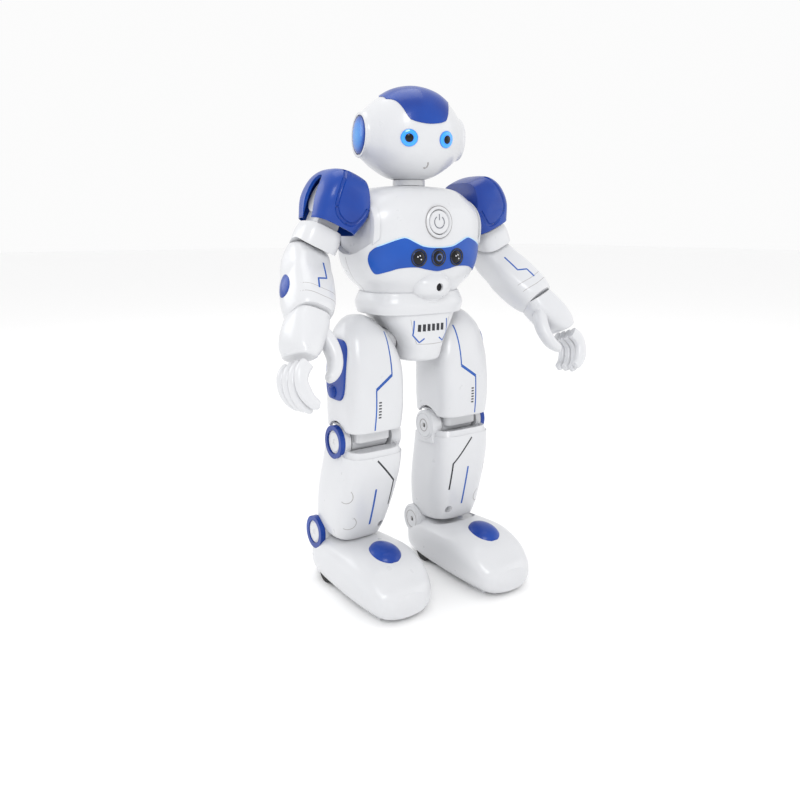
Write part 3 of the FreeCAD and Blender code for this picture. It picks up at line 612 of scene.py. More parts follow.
# ---- Torso ----
TORSO_ROWS = [
    (148.0, 0, 0, 25.0, 18.8, 2.6), (154.0, 0, 0, 27.0, 20.5, 2.6), (160.0, 0, 0, 33.0, 24.0, 2.7),
    (168.0, 0, 0, 37.0, 26.0, 2.8), (178.0, 0, 0, 39.0, 26.5, 2.8), (188.0, 0, 0, 40.0, 27.0, 2.8),
    (196.0, 0, 0, 37.5, 26.0, 2.7), (203.0, 0, 0, 31.0, 22.5, 2.5), (206.6, 0, 0, 24.5, 18.5, 2.4),
    (208.0, 0, 0, 15.0, 12.0, 2.2), (208.2, 0, 0, 8.9, 8.9, 2.0)]
BAND_TOP = [(-37.6, 172.0), (-36.0, 174.6), (-28.0, 178.6), (-22.5, 180.6), (-19.5, 181.0), (-14.0, 178.6),
            (-9.0, 176.6), (0.0, 175.9), (9.0, 176.6), (14.0, 178.6), (19.5, 181.0), (22.5, 180.6),
            (28.0, 178.6), (36.0, 174.6), (37.6, 172.0)]
BAND_LOW = [(-37.6, 165.0), (-35.5, 163.2), (-32.5, 162.4), (-27.0, 164.2), (-22.0, 165.8), (-13.0, 166.2),
            (-7.0, 165.0), (0.0, 164.0), (7.0, 165.0), (13.0, 166.2), (22.0, 165.8), (27.0, 164.2),
            (32.5, 162.4), (35.5, 163.2), (37.6, 165.0)]


def curve_at(points, x):
    """Smooth value of an outline given as (x, z) points."""
    xs = [p[0] for p in points]
    zs = [p[1] for p in points]
    for i in range(len(xs) - 1):
        if x <= xs[i + 1] or i == len(xs) - 2:
            p1 = zs[i]
            p2 = zs[i + 1]
            step = xs[i + 1] - xs[i]
            before = (zs[i + 1] - zs[i - 1]) / (xs[i + 1] - xs[i - 1]) if i else (p2 - p1) / step
            after = ((zs[i + 2] - zs[i]) / (xs[i + 2] - xs[i])) if i + 2 < len(xs) else (p2 - p1) / step
            t = (x - xs[i]) / step
            h00 = 2 * t ** 3 - 3 * t ** 2 + 1
            h10 = t ** 3 - 2 * t ** 2 + t
            h01 = -2 * t ** 3 + 3 * t ** 2
            h11 = t ** 3 - t ** 2
            return h00 * p1 + h10 * step * before + h01 * p2 + h11 * step * after
    return zs[-1]


BUTTON_Z = 189.0
SYMBOL_RADIUS = 3.1
BELLY_HOLE_Z = 155.8
LENS_X = (-12.0, 0.0, 12.0)


def build_torso():
    skin = lofted(TORSO_ROWS, "z", 9, 192)
    smooth_tree = tree_of(skin)
    boss = lofted(rounded([(146.8, 0, -15.0, 8.0, 8.0, 2.3), (152.5, 0, -17.6, 11.0, 9.2, 2.2),
                           (158.0, 0, -19.0, 11.4, 8.8, 2.2), (165.0, 0, -18.6, 8.0, 7.0, 2.2)], 2.5),
                  "z", 4, 64)
    tools = []
    for side in (-1, 1):
        tools.append(rod((side * 33.8, 0, SHOULDER.z), (side * 60, 0, SHOULDER.z), 26.6, 128))
    skin = carve(skin, [boss], "UNION")
    skin = carve(skin, tools)
    skin = carve(skin, [rod((0, -40, BUTTON_Z), (0, -20, BUTTON_Z), 6.35, 72)])
    skin = carve(skin, [rod((0, -40, BELLY_HOLE_Z), (0, -24.5, BELLY_HOLE_Z), 2.1, 40)])
    tree = tree_of(skin)
    add("torso_shell", skin, BODY, WHITE, "torso", ("chest_shell", "rear_shell"),
        bevel=0.35, sharp=30)

    rows = []
    for share in np.linspace(-1.0, 1.0, 121):
        squeeze = 1.0 - 0.22 * max(0.0, (abs(share) - 0.94) / 0.06) ** 2
        row = []
        for t in np.linspace(0, 1, 25):
            x = share * (33.4 + 2.6 * t - 1.2 * (2 * t - 1) ** 2)
            low = curve_at(BAND_LOW, x)
            high = curve_at(BAND_TOP, x)
            row.append((x, -30.0, low + (high - low) * (0.5 + (t - 0.5) * squeeze)))
        rows.append(row)
    band = patch(smooth_tree, rows, (0, 1, 0), 0.35)
    add("chest_band_cover", band, BODY, BAND_BLUE, "torso", ("chest_band",), bevel=0.25,
        thick=1.0)
    # Pale strip of painted highlight along the band's top edge.
    edge = [(x, -30.0, curve_at(BAND_TOP, x) + 0.15) for x in np.linspace(-32.5, 32.5, 60)]
    add("chest_band_highlight", ribbon(smooth_tree, edge, (0, 1, 0), 0.45, rise=0.42, sink=0.6), BODY, BAND_EDGE_HIGHLIGHT,
        "torso")

    for index, x in enumerate(LENS_X):
        name = "sensor_lens_%d" % (index + 1)
        point, normal = drape(smooth_tree, (x, -80.0, 171.0), (0, 1, 0))
        matrix = BODY @ facing(point, normal)
        ring = [(4.6, -0.6), (4.6, 0.55), (4.35, 0.75), (4.0, 0.6), (3.7, 0.1), (3.7, -0.6)]
        dome = [(0.01, 1.1), (1.5, 1.0), (2.8, 0.7), (3.6, 0.25), (3.9, 0.0), (3.9, -0.6), (0.01, -0.6)]
        add(name + "_rim", lathe(ring), matrix, BLACK, "torso")
        add(name + "_glass", lathe(dome), matrix, GLASS, "torso", (name,), sharp=50)
        if index != 1:
            for k, (u, v) in enumerate(((-1.1, 0.6), (0.2, 1.1), (0.9, -0.8))):
                spark = lathe([(0.01, 0.25), (0.3, 0.2), (0.42, 0.0), (0.42, -0.3), (0.01, -0.3)], 24)
                add("%s_lamp_%d" % (name, k), spark, matrix @ Matrix.Translation((u, v, 1.0)),
                    LAMP, "torso")
        else:
            iris = [(2.0, 0.9), (2.0, 1.05), (1.7, 1.1), (1.4, 1.15), (1.4, 0.9)]
            add(name + "_iris", lathe(iris, 48), matrix, BLUE_GLASS, "torso")

    point, normal = drape(smooth_tree, (0, -80.0, BUTTON_Z), (0, 1, 0))
    bezel = [(8.3, -0.6), (8.1, 0.25), (7.4, 0.75), (6.9, 0.7), (6.5, 0.2), (6.4, -1.5), (8.3, -1.5)]
    add("button_bezel", lathe(bezel), BODY @ facing(point, normal), WHITE, "torso", sharp=40)
    # Thin ring of painted shade round the bezel, standing for the shadow in the gap.
    groove = [(8.32, -0.4), (8.32, 0.1), (8.42, 0.14), (8.5, 0.08), (8.5, -0.4)]
    add("button_groove_shade", lathe(groove), BODY @ facing(point, normal), SEAM_SHADE, "torso",
        sharp=40)
    button = [(0.01, 0.35), (3.5, 0.35), (5.2, 0.45), (5.9, 0.3), (6.1, -0.2), (6.1, -3.0), (0.01, -3.0)]
    add("power_button_cap", lathe(button), BODY @ facing(point, normal), WHITE, "power_button",
        ("power_button",), sharp=40)
    symbol = []
    for k in range(33):
        angle = math.radians(-235 + 290 * k / 32)
        symbol.append((SYMBOL_RADIUS * math.cos(angle), SYMBOL_RADIUS * math.sin(angle)))
    build_symbol("power_symbol_ring", symbol, point, normal)
    build_symbol("power_symbol_bar", [(0.0, 1.0), (0.0, 4.1)], point, normal)

    add("belly_lens", rod((0, -26.3, BELLY_HOLE_Z), (0, -22.0, BELLY_HOLE_Z), 2.05, 40), BODY, GLASS,
        "torso")

    # Armhole flanges, and the parting line between the front and rear shells, drawn as a strip of painted shade.
    swollen = lofted([(z, x, y, a + 0.8, b + 0.8, n) for z, x, y, a, b, n in TORSO_ROWS], "z", 9, 128)
    shrunk = lofted([(z, x, y, a - 1.3, b - 1.3, n) for z, x, y, a, b, n in TORSO_ROWS], "z", 9, 128)
    for side in (-1, 1):
        flange = rod((side * 32.2, 0, SHOULDER.z), (side * 34.5, 0, SHOULDER.z), 27.7, 160)
        flange = carve(flange, [swollen.copy()], "INTERSECT")
        flange = carve(flange, [shrunk.copy()])
        add("armhole_flange_%s" % ("left" if side > 0 else "right"), flange, BODY, WHITE,
            "torso", bevel=0.3)
    for side in (-1, 1):
        path = [(0, 3.0, z) for z in np.linspace(150.5, 171.0, 20)]
        add("parting_line_shade_%s" % ("left" if side > 0 else "right"),
            ribbon(tree, path, (-side, 0, 0), 0.3, rise=0.03, sink=0.2), BODY, SEAM_SHADE, "torso")

    skirt = lofted(rounded([(141.4, 0, 0, 27.2, 21.2, 3.0), (147.0, 0, 0, 28.2, 22.2, 3.0),
                            (152.8, 0, 0, 27.2, 20.9, 2.7)], 0.8), "z", 6, 160)
    inside = lofted([(140.0, 0, 0, 25.2, 19.4, 3.0), (145.5, 0, 0, 25.6, 19.8, 3.0)], "z", 2, 96)
    skirt = carve(skirt, [inside])
    add("waist_skirt", skirt, BODY, WHITE, "torso", ("waist_ring",), sharp=30)
    return tree


def build_symbol(name, points, origin, normal):
    matrix = facing(origin, normal)
    path = [matrix @ Vector((x, y, 0.33)) for x, y in points]
    add(name, tube([tuple(p) for p in path], 0.28, 10), BODY, PAINT_GREY, "power_button")


def tube(points, radius, sides=12):
    """Round bar along a list of points."""
    rings = []
    vectors = [Vector(p) for p in points]
    for index, point in enumerate(vectors):
        tangent = (vectors[min(index + 1, len(vectors) - 1)] - vectors[max(index - 1, 0)]).normalized()
        helper = Vector((0, 0, 1)) if abs(tangent.z) < 0.9 else Vector((1, 0, 0))
        side = tangent.cross(helper).normalized()
        up = side.cross(tangent)
        ring = []
        for k in range(sides):
            angle = 2 * math.pi * k / sides
            ring.append(tuple(point + side * radius * math.cos(angle) + up * radius * math.sin(angle)))
        rings.append(np.array(ring))
    return grid_mesh("tube", rings)


# ---- Arms, built for the left side and mirrored ----
PAD_ROWS = [(-12.4, 0, 0, 11.8, 14.6, 4.0), (-2.0, 0, 0, 14.4, 17.4, 4.2), (7.5, 0, 0, 14.2, 16.9, 3.8),
            (13.6, 0, 0, 11.6, 14.2, 3.2), (16.2, 0, 0, 7.4, 9.8, 2.8), (16.8, 0, 0, 3.0, 5.0, 2.4)]
PAD_GROOVE = [(7.0, 15.6), (8.2, 7.0), (7.8, -1.5), (5.8, -6.2), (1.8, -8.8), (-2.8, -9.6),
              (-6.2, -8.2), (-8.2, -4.0), (-9.4, 1.0)]
ELBOW_Z = ELBOW_LOCAL.z
ROLL = 11.0


def box_mesh(low, high, matrix=None):
    mesh = bpy.data.meshes.new("box")
    work = bmesh.new()
    bmesh.ops.create_cube(work, size=1.0)
    for vert in work.verts:
        for k in range(3):
            vert.co[k] = (low[k] + high[k]) / 2 + vert.co[k] * (high[k] - low[k])
    work.to_mesh(mesh)
    work.free()
    if matrix:
        mesh.transform(matrix)
    return mesh


def swept(points, sizes, power=2.6, count=28, across=(0, 1, 0)):
    """Rounded bar through a path; sizes are (half width across, half thickness)."""
    rows = smooth_rows([tuple(p) + tuple(s) for p, s in zip(points, sizes)], 6)
    vectors = [Vector(row[:3]) for row in rows]
    cross = Vector(across)
    x, y = superellipse(count, power)
    rings = []
    for index, row in enumerate(rows):
        tangent = (vectors[min(index + 1, len(rows) - 1)] - vectors[max(index - 1, 0)]).normalized()
        normal = tangent.cross(cross).normalized()
        side = normal.cross(tangent)
        rings.append(np.array([tuple(vectors[index] + side * (row[3] * u) + normal * (row[4] * v))
                               for u, v in zip(x, y)]))
    return grid_mesh("swept", rings)


def both_sides(build):
    for side in ("left", "right"):
        build(side, side == "right")


def build_shoulder(side, mirror):
    body = "upper_arm_" + side
    pad_place = ARM @ Matrix.Translation((-2.6, 0, 0))
    pad = lofted(PAD_ROWS, "z", 8, 128)
    tree = tree_of(pad)
    inner = lofted([(-14.0, 0, 0, 11.3, 13.8, 4.0)] + [(z, x, y, a - 1.7, b - 1.7, n)
                                                       for z, x, y, a, b, n in PAD_ROWS[1:4]], "z", 5, 96)
    arch = lofted([(6.0, 0.0, -4.0, 4.8, 13.6, 2.6), (22.0, 0.0, -4.0, 5.6, 14.6, 2.6)], "x", 3, 64)
    slab = box_mesh((-100, -100, -100), (34.8, 100, 300), pad_place.inverted() @ BODY)
    grooves = ribbon_tube(tree, [(x, -30.0, z) for x, z in PAD_GROOVE], (0, 1, 0), 1.15)
    rear_grooves = grooves.copy()
    rear_grooves.transform(Matrix.Scale(-1, 4, (0, 1, 0)))
    lining = box_mesh((-100, -100, -100), (36.4, 100, 300), pad_place.inverted() @ BODY)
    inner = carve(inner, [lining])
    pad = carve(pad, [inner, arch, slab, grooves, rear_grooves])
    add("shoulder_cover_" + side, pad, pad_place, BLUE, body, ("shoulder_pad_" + side,),
        mirror, bevel=0.35, sharp=35)
    drum = carve(rod((-9.0, 0, 0), (7.6, 0, 0), 8.6, 96), [box_mesh((-6.0, -6.6, -14.0), (6.0, 6.6, 0.0))],
                 "UNION")
    shaft = rod((34.0, 0, SHOULDER.z), (46.0, 0, SHOULDER.z), 2.5, 48)
    shaft.transform(ARM.inverted() @ BODY)
    trim = box_mesh((-100, -100, -100), (36.9, 100, 300), ARM.inverted() @ BODY)
    drum = carve(carve(drum, [trim]), [shaft], "UNION")
    add("shoulder_drum_" + side, drum, ARM, WHITE, body, ("shoulder_hub_" + side,), mirror,
        bevel=0.3, sharp=35)


def ribbon_tube(tree, path, way, radius):
    """Round bar lying on a surface, used to press a channel into it."""
    points = []
    vectors = [Vector(p) for p in path]
    rows = smooth_rows([tuple(v) for v in vectors], 6)
    for row in rows:
        point, normal = drape(tree, Vector(row) - Vector(way) * 60.0, way)
        if point is not None:
            points.append(tuple(point + normal * radius * 0.25))
    return tube(points, radius, 16)


def build_upper_arm(side, mirror):
    body = "upper_arm_" + side
    rows = rounded([(-14.2, 0, 0, 9.8, 10.0, 3.2), (-20.0, 0, 0, 10.7, 10.7, 3.2),
                    (-31.5, 0, 0, 10.3, 10.3, 3.2)], 0.8, ends=(True, False))
    cuff = lofted(rows, "z", 5, 128)
    roll = rod((-20, 0, ELBOW_Z), (20, 0, ELBOW_Z), ROLL + 0.35, 96)
    swing = box_mesh((-20, -ROLL - 0.35, -40), (20, ROLL + 0.35, 0),
                     Matrix.Translation((0, 0, ELBOW_Z)) @ Matrix.Rotation(math.radians(-76.0), 4, "X"))
    cuff = carve(cuff, [roll, swing])
    add("upper_arm_cuff_" + side, cuff, ARM, WHITE, body, ("upper_arm_" + side,),
        mirror, bevel=0.3, sharp=30)


FOREARM_ROWS = [(10.9, 0, 0, 9.4, 1.2, 2.4), (10.2, 0, 0, 9.8, 4.1, 2.8), (8.0, 0, 0, 10.2, 7.5, 3.2),
                (4.5, 0, 0, 10.5, 10.0, 3.4), (0.0, 0, 0, 10.6, 11.0, 3.4), (-6.0, 0, 0, 10.8, 11.1, 3.4),
                (-13.0, 0, 0, 11.6, 11.8, 3.2), (-24.0, 0, -0.5, 11.4, 11.8, 3.0),
                (-31.0, 0.2, -0.8, 10.4, 11.0, 2.9), (-33.9, 0.4, -0.9, 9.4, 10.0, 2.8)]


def build_forearm(side, mirror):
    body = "forearm_" + side
    skin = lofted(FOREARM_ROWS, "z", 7, 128)
    tree = tree_of(skin)
    add("forearm_shell_" + side, skin, FOREARM, WHITE, body, ("forearm_" + side,),
        mirror, bevel=0.3, sharp=35)
    outline = []
    for k in range(41):
        angle = 2 * math.pi * k / 40
        narrow = 1.0 - 0.25 * math.sin(angle)
        outline.append((4.3 * math.cos(angle) * narrow, 6.8 * math.sin(angle)))
    rings = []
    for share in (1.0, 0.97, 0.9, 0.75, 0.5, 0.25, 0.02):
        lift = 0.75 * (1 - share ** 2) + (0.25 if share < 1.0 else -0.4)
        ring = []
        for y, z in outline[:-1]:
            point, normal = drape(tree, (60.0, 2.0 + y * share, -17.0 + z * share), (-1, 0, 0))
            ring.append(tuple(point + normal * lift))
        rings.append(np.array(ring))
    add("forearm_teardrop_" + side, grid_mesh("badge", rings), FOREARM, BLUE, body,
        ("forearm_badge_" + side,), mirror)
    path = [(-2.4, -30, -5.5), (-2.8, -30, -16.5), (2.2, -30, -19.0), (2.2, -30, -25.0)]
    add("forearm_line_" + side, ribbon(tree, path, (0, 1, 0), 0.95, rise=0.05, sink=0.3), FOREARM,
        PAINT_BLUE, body, (), mirror)
    # Two seam lines across the forearm, drawn as strips of painted shade.
    for index, z in enumerate((-23.0, -27.5)):
        points = [(x, -30.0, z - 1.6 * math.cos(x / 11.0 * math.pi / 2)) for x in np.linspace(-9.0, 10.0, 14)]
        add("forearm_seam_shade_%d_%s" % (index, side), ribbon(tree, points, (0, 1, 0), 0.3, rise=0.02, sink=0.2),
            FOREARM, SEAM_SHADE, body, (), mirror)


PALM_ROWS = [(0.5, 0.4, -0.9, 8.6, 9.2, 2.8), (-5.0, 0.9, -1.3, 9.4, 10.2, 2.8),
             (-12.0, 2.0, -2.2, 8.8, 11.2, 2.8),
             (-18.0, 2.4, -3.2, 7.6, 11.0, 2.9), (-22.5, 2.5, -4.0, 5.6, 10.4, 3.0)]


def build_hand(side, mirror):
    body = "forearm_" + side
    palm = lofted(rounded(PALM_ROWS, 1.5, ends=(False, True)), "z", 6, 112)
    thumb = swept([(-4.0, -5.0, -7.0), (-9.0, -7.0, -11.5), (-12.2, -9.0, -17.5), (-12.8, -10.3, -23.5),
                   (-11.0, -11.2, -28.5), (-10.0, -11.5, -30.0)],
                  [(4.4, 3.6), (4.4, 3.5), (4.1, 3.2), (3.8, 2.9), (2.9, 2.2), (0.8, 0.7)], 2.5)
    hand = carve(palm, [thumb], "UNION")
    add("palm_" + side, hand, HAND, WHITE, body, ("hand_" + side,), mirror, sharp=50)
    finger_body = "fingers_" + side
    for index in range(4):
        y = -11.4 + 4.85 * index
        stretch = 1.0 - 0.07 * abs(index - 1)
        base = Vector((2.5, y, -26.0))
        path = [base, base + Vector((1.4, 0, -4.0 * stretch)), base + Vector((0.9, 0, -8.6 * stretch)),
                base + Vector((-1.6, 0, -12.6 * stretch)), base + Vector((-5.2, 0, -15.6 * stretch)),
                base + Vector((-9.2, 0, -17.0 * stretch)), base + Vector((-10.2, 0, -17.1 * stretch))]
        sizes = [(2.3, 3.2), (2.35, 3.3), (2.3, 2.9), (2.3, 3.0), (2.2, 2.6), (1.9, 2.1), (0.6, 0.7)]
        finger = swept(path, sizes, 2.8)
        add("finger_%d_%s" % (index + 1, side), finger, HAND, WHITE, finger_body,
            ("fingers_" + side,) if index == 0 else (), mirror, sharp=50)


# ---- Legs ----
def leg_frame(side):
    knee = Vector((28.5, 0.0, 78.0))
    return BODY @ Matrix.Translation(knee) @ Matrix.Rotation(LEAN[side], 4, "X") @ Matrix.Translation(-knee)


LEG_X = 28.5
KNEE_Z = 78.0
THIGH_ROWS = [(84.0, LEG_X, -0.5, 15.6, 15.8, 4.2), (86.0, LEG_X, -0.6, 16.1, 16.3, 4.2),
              (98.0, LEG_X, -1.0, 16.6, 17.0, 4.2),
              (116.0, LEG_X, -0.5, 16.4, 16.5, 3.8), (130.0, LEG_X + 1.5, 1.0, 13.6, 13.9, 3.0),
              (137.0, LEG_X + 2.5, 2.4, 9.2, 9.8, 2.5), (140.4, LEG_X + 3.0, 3.0, 4.8, 5.2, 2.3),
              (141.1, LEG_X + 3.0, 3.0, 1.6, 1.8, 2.1)]
SHIN_ROWS = [(26.0, LEG_X, 11.0, 13.2, 14.8, 3.4), (28.0, LEG_X, 10.7, 13.9, 15.6, 3.4),
             (34.0, LEG_X, 9.5, 15.0, 17.0, 3.6),
             (48.0, LEG_X, 6.0, 16.4, 18.0, 3.8), (62.0, LEG_X, 2.0, 17.0, 17.6, 4.0),
             (71.8, LEG_X, 0.2, 16.8, 16.8, 4.2), (72.4, LEG_X, 0.2, 16.4, 16.4, 4.2),
             (75.4, LEG_X, 0.0, 15.4, 15.4, 4.2)]


def disc_hub(x, y, z, side, radius):
    """White turned centre of a joint disc, with a shallow ring groove and a dimple."""
    profile = [(0.01, 0.25), (1.2, 0.25), (1.5, 0.6), (radius - 1.6, 0.7), (radius - 1.2, 0.35),
               (radius - 0.8, 0.7), (radius - 0.15, 0.45), (radius - 0.1, -1.0), (0.01, -1.0)]
    return lathe(profile, 64), Matrix.Translation((x, y, z)) @ facing((0, 0, 0), (side, 0, 0))


def disc_ring(radius):
    """Thin shadow line around a disc centre."""
    profile = [(radius - 0.18, 0.3), (radius - 0.18, 0.78), (radius + 0.18, 0.78), (radius + 0.18, 0.3)]
    return lathe(profile, 64)


def build_thigh(side, mirror):
    body = "thigh_" + side
    skin = lofted(THIGH_ROWS, "z", 9, 160)
    hollow = lofted([(80.0, LEG_X, -0.5, 14.2, 14.4, 4.2), (86.5, LEG_X, -0.5, 14.2, 14.4, 4.2)], "z", 2, 96)
    clear = [rod((LEG_X + s * 11.8, 0, KNEE_Z), (LEG_X + s * 30, 0, KNEE_Z), 10.4, 96) for s in (-1, 1)]
    skin = carve(skin, [hollow] + clear)
    add("thigh_cover_" + side, skin.copy(), BODY, WHITE, body, ("thigh_" + side,), mirror,
        bevel=0.3, sharp=32)
    block = rounded([(LEG_X - 10.5, 0, KNEE_Z, 6.4, 6.4, 2.0), (LEG_X + 10.5, 0, KNEE_Z, 6.4, 6.4, 2.0)], 0.5,
                    "x")
    add("knee_block_" + side, lofted(block, "x", 1, 64), BODY, WHITE, body, (), mirror)
    stem = lofted([(KNEE_Z, LEG_X, -2.0, 10.2, 8.4, 6.0), (86.0, LEG_X, -2.0, 10.2, 8.4, 6.0)], "z", 1, 64)
    add("knee_stem_" + side, stem, BODY, WHITE, body, (), mirror, bevel=0.3)
    panel = lofted([(LEG_X + 12.0, 0.0, 114.5, 9.6, 15.6, 3.6), (LEG_X + 17.2, 0.0, 114.5, 9.2, 15.2, 3.6),
                    (LEG_X + 18.0, 0.0, 114.5, 7.5, 13.5, 3.4)], "x", 3, 96)
    outer = lofted([(row[0], row[1], row[2], row[3] + 0.9, row[4] + 0.9, row[5]) for row in THIGH_ROWS[:6]],
                   "z", 9, 128)
    panel = carve(panel, [outer], "INTERSECT")
    add("thigh_panel_cover_" + side, panel, BODY, BLUE, body, ("thigh_panel_" + side,),
        mirror, bevel=0.3)
    knob = lathe([(0.01, 1.5), (2.2, 1.5), (3.0, 1.1), (3.4, 0.2), (3.5, -3.0), (0.01, -3.0)], 48)
    add("thigh_knob_" + side, knob, BODY @ Matrix.Translation((LEG_X + 17.4, 2.0, 103.0))
        @ facing((0, 0, 0), (1, 0, 0)), BLUE, body, (), mirror)
    line = [(22.5, -30, 133.0), (22.6, -30, 124.0), (22.5, -30, 112.0), (32.0, -30, 105.5), (32.0, -30, 96.0),
            (32.2, -30, 85.2)]
    tree = tree_of(skin)
    add("thigh_line_" + side, ribbon(tree, line[:3], (0, 1, 0), 0.8, rise=0.05, sink=0.3), BODY, PAINT_BLUE,
        body, (), mirror)
    add("thigh_bend_" + side, ribbon(tree, line[2:4], (0, 1, 0), 1.5, rise=0.06, sink=0.3), BODY, PAINT_BLUE,
        body, (), mirror)
    add("thigh_end_" + side, ribbon(tree, line[3:], (0, 1, 0), 0.8, rise=0.05, sink=0.3), BODY, PAINT_BLUE,
        body, (), mirror)
    for index in range(6):
        z = 99.0 - 1.5 * index
        tick = [(29.0, -30, z), (30.6, -30, z)]
        add("thigh_tick_%d_%s" % (index, side), ribbon(tree, tick, (0, 1, 0), 0.75, rise=0.05, sink=0.3),
            BODY,
            PAINT_BLACK, body, (), mirror)
    plate = lofted([(85.2, LEG_X, -0.5, 14.3, 14.5, 4.2), (86.4, LEG_X, -0.5, 14.3, 14.5, 4.2)], "z", 1, 96)
    add("thigh_floor_" + side, plate, BODY, WHITE, body, (), mirror, bevel=0.2)
    hub = rounded([(12.3, 0, 127.0, 6.0, 6.0, 2.0), (22.0, 0, 127.0, 6.6, 6.6, 2.0)], 0.6, "x")
    add("hip_hub_" + side, lofted(hub, "x", 3, 64), BODY, WHITE, body, (), mirror)
    neck = lofted([(8.0, 0, 127.0, 2.5, 2.5, 2.0), (13.0, 0, 127.0, 2.5, 2.5, 2.0)], "x", 1, 40)
    add("hip_axle_" + side, neck, BODY, STEEL, body, (), mirror)


def build_shin(side, mirror):
    body = "shin_" + side
    place_shin = leg_frame(side)
    skin = lofted(SHIN_ROWS, "z", 9, 160)
    tree = tree_of(skin)
    hollow = lofted([(74.2, LEG_X, 0.0, 14.2, 14.2, 4.2), (80.0, LEG_X, 0.0, 14.2, 14.2, 4.2)], "z", 2, 96)
    well = rod((LEG_X - 11.2, 0, KNEE_Z), (LEG_X + 11.2, 0, KNEE_Z), 7.2, 72)
    skin = carve(skin, [hollow, well])
    ears = []
    for low, high in ((-18.1, -12.2), (12.2, 16.9)):
        ears.append(carve(rod((LEG_X + low, 0, KNEE_Z), (LEG_X + high, 0, KNEE_Z), 8.0, 96),
                          [box_mesh((LEG_X + low, -6.6, 69.0), (LEG_X + high, 6.6, KNEE_Z))], "UNION"))
    skin = carve(skin, ears, "UNION")
    skin = carve(skin, [rod((LEG_X + s * 8.1, 20.0, 22.5), (LEG_X + s * 17.0, 20.0, 22.5), 8.3, 96)
                        for s in (-1, 1)])
    skin = carve(skin, [rod((LEG_X - 8.6, -20.0, 32.0), (LEG_X - 8.6, -2.0, 32.0), 1.9, 40)])
    add("shin_cover_" + side, skin, place_shin, WHITE, body, ("shin_" + side,), mirror,
        bevel=0.3, sharp=32)
    hub, where = disc_hub(LEG_X + 16.8, 0, KNEE_Z, 1, 6.1)
    add("knee_hub_outer_" + side, hub, place_shin @ where, WHITE, body, (), mirror, sharp=40)
    hub, where = disc_hub(LEG_X - 18.0, 0, KNEE_Z, -1, 7.6)
    add("knee_hub_inner_" + side, hub, place_shin @ where, WHITE, body, (), mirror, sharp=40)
    # Ring of painted shadow round the inner hub centre.
    add("knee_hub_shadow_ring_" + side, disc_ring(3.2), place_shin @ where, SEAM_SHADE, body, (), mirror)
    boss = rounded([(LEG_X - 8.0, 20.0, 22.5, 5.4, 5.4, 2.0), (LEG_X + 8.0, 20.0, 22.5, 5.4, 5.4, 2.0)], 0.4,
                   "x")
    add("ankle_boss_" + side, lofted(boss, "x", 1, 64), place_shin, WHITE, body, (), mirror)
    # Two arc grooves on the shin, drawn as strips of painted shade.
    for index, z in enumerate((53.0, 37.6)):
        points = []
        for k in range(19):
            angle = math.radians(-115 + 150 * k / 18)
            reach = 4.6 * math.cos(angle) * -1.0
            points.append((LEG_X + 13.5 + 0.6 * reach + 24.0, -7.0 + 0.8 * reach - 18.0,
                           z + 4.6 * math.sin(angle)))
        add("shin_arc_shade_%d_%s" % (index, side), ribbon(tree, points, (-0.8, 0.6, 0), 0.4, rise=0.02, sink=0.2),
            place_shin, SEAM_SHADE, body, (), mirror)
    black = [(30.0, -30, 70.8), (25.5, -30, 66.0), (18.3, -30, 58.0), (18.0, -30, 43.5)]
    add("shin_black_line_" + side, ribbon(tree, black, (0, 1, 0), 0.9, rise=0.05, sink=0.3), place_shin,
        PAINT_BLACK, body, (), mirror)
    blue = [(28.5, -30, 55.0), (28.0, -30, 44.0), (27.6, -30, 34.0)]
    add("shin_blue_line_" + side, ribbon(tree, blue, (0, 1, 0), 1.1, rise=0.05, sink=0.3), place_shin,
        PAINT_BLUE, body, (), mirror)


FOOT_ROWS = [(-46.3, LEG_X, 8.0, 9.0, 5.2, 2.5), (-44.5, LEG_X, 8.6, 12.6, 6.9, 2.6),
             (-41.5, LEG_X, 9.4, 15.6, 8.2, 2.8),
             (-34.0, LEG_X, 12.0, 18.0, 10.8, 3.0), (-22.0, LEG_X, 13.6, 19.0, 12.4, 3.2),
             (-8.0, LEG_X, 13.4, 18.6, 12.2, 3.4), (10.0, LEG_X, 12.6, 17.6, 11.4, 3.4),
             (22.0, LEG_X, 11.6, 15.6, 10.4, 3.0), (27.0, LEG_X, 11.0, 13.2, 9.5, 2.8),
             (29.4, LEG_X, 10.6, 10.4, 8.2, 2.6)]


def foot_frame(side):
    ankle = joint_point("ankle_" + side)
    return Matrix.Translation((0, ankle.y - 20.0, 0))


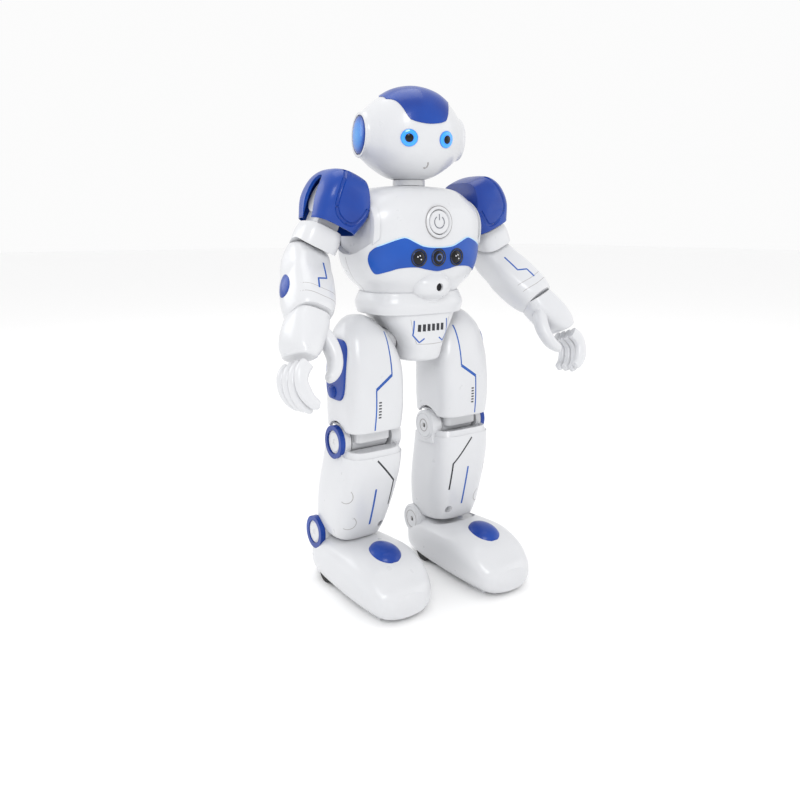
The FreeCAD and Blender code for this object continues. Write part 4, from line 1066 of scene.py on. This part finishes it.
def build_foot(side, mirror):
    body = "foot_" + side
    ankle = joint_point("ankle_" + side)
    place_foot = foot_frame(side)
    skin = lofted(FOOT_ROWS, "y", 8, 160)
    skin = carve(skin, [box_mesh((-10, -80, -20), (70, 80, 1.3))])
    cheeks = [rod((LEG_X + s * 8.7, 20.0, ankle.z), (LEG_X + s * 15.1, 20.0, ankle.z), 7.8, 96)
              for s in (-1, 1)]
    skin = carve(skin, cheeks, "UNION")
    envelope = lofted([(row[0] - 0.4, row[1], row[2], row[3] + 0.5, row[4] + 0.5, row[5])
                       for row in SHIN_ROWS[:4]],
                      "z", 5, 96)
    envelope.transform(Matrix.Translation((0, 0, ankle.z - 22.5)))
    pivot = Matrix.Translation((LEG_X, 20.0, ankle.z))
    for swing in (-5.0, 0.0, 5.0):
        tool = envelope.copy()
        tool.transform(pivot @ Matrix.Rotation(math.radians(swing), 4, "X") @ pivot.inverted())
        tool = carve(tool, [rod((LEG_X + s * 8.3, 20.0, ankle.z), (LEG_X + s * 20, 20.0, ankle.z), 7.9, 96)
                            for s in (-1, 1)])
        skin = carve(skin, [tool])
    slot = box_mesh((LEG_X - 8.6, 13.0, ankle.z - 6.2), (LEG_X + 8.6, 28.0, 60.0))
    wells = [box_mesh((LEG_X + low, 4.8, -5.0), (LEG_X + low + 6.4, 19.2, 13.8)) for low in (-14.2, 7.8)]
    skin = carve(skin, [slot] + wells)
    add("foot_shell_" + side, skin, place_foot, WHITE, body, ("foot_" + side,), mirror,
        bevel=0.3, sharp=32)
    hub, where = disc_hub(LEG_X + 15.2, 20.0, ankle.z, 1, 5.9)
    add("ankle_hub_outer_" + side, hub, place_foot @ where, WHITE, body, (), mirror,
        sharp=40)
    hub, where = disc_hub(LEG_X - 15.1, 20.0, ankle.z, -1, 7.6)
    add("ankle_hub_inner_" + side, hub, place_foot @ where, WHITE, body, (), mirror,
        sharp=40)
    # Ring of painted shadow round the inner ankle hub centre.
    add("ankle_hub_shadow_line_" + side, disc_ring(4.6), place_foot @ where, SEAM_SHADE, body, (), mirror)
    pad = box_mesh((LEG_X - 11, -37.0, 0.0), (LEG_X + 11, -23.0, 2.0))
    add("glide_pad_" + side, pad, place_foot, WHITE, body, (), mirror, bevel=0.4)


def build_pelvis():
    rows = [(116.8, 0, -3.2, 9.6, 13.6, 2.6), (118.2, 0, -3.0, 11.0, 16.0, 2.8),
            (124.0, 0, -2.0, 11.6, 18.6, 3.2),
            (130.0, 0, -1.2, 14.2, 19.6, 3.4), (137.0, 0, -0.6, 19.4, 19.8, 3.4),
            (145.0, 0, -0.4, 24.0, 19.4, 3.4)]
    skin = lofted(rows, "z", 8, 144)
    hubs = [rod((side * 10.7, 0, 127.0), (side * 30.0, 0, 127.0), 6.9, 72) for side in (-1, 1)]
    clear = []
    for side in (-1, 1):
        cover = [(row[0], side * row[1], row[2], row[3] + 0.8, row[4] + 3.0, row[5]) for row in THIGH_ROWS]
        clear.append(lofted(cover, "z", 6, 96))
    skin = carve(skin, hubs + clear)
    tree = tree_of(skin)
    add("pelvis_cover", skin, BODY, WHITE, "torso", ("pelvis_shell",), bevel=0.3, sharp=32)
    badge = [(-12.2, -40, 139.2), (-10.4, -40, 131.0), (-8.3, -40, 126.4), (0.0, -40, 126.1),
             (8.3, -40, 126.4),
             (10.4, -40, 131.0), (12.2, -40, 139.2)]
    # Line of painted shade round the badge's edge.
    add("badge_outline_shade", ribbon(tree, badge, (0, 1, 0), 0.28, rise=0.03, sink=0.2), BODY, SEAM_SHADE, "torso")
    for side in (-1, 1):
        bracket = [(side * 10.4, -40, 138.6), (side * 10.6, -40, 131.0), (side * 7.4, -40, 127.2),
                   (side * 4.6, -40, 129.2)]
        add("badge_bracket_%s" % ("left" if side > 0 else "right"),
            ribbon(tree, bracket, (0, 1, 0), 0.75, rise=0.05, sink=0.3), BODY, PAINT_BLUE,
            "torso")
    for index in range(6):
        x = -7.6 + 2.9 * index
        bar = [(x, -40, 132.8), (x + 0.3, -40, 136.4)]
        add("badge_bar_%d" % index, ribbon(tree, bar, (0, 1, 0), 1.9, rise=0.05, sink=0.3), BODY, PAINT_BLACK,
            "torso")


build_head()
build_torso()
both_sides(build_shoulder)
both_sides(build_upper_arm)
both_sides(build_forearm)
both_sides(build_hand)
build_pelvis()
both_sides(build_thigh)
both_sides(build_shin)
both_sides(build_foot)

build_stage()
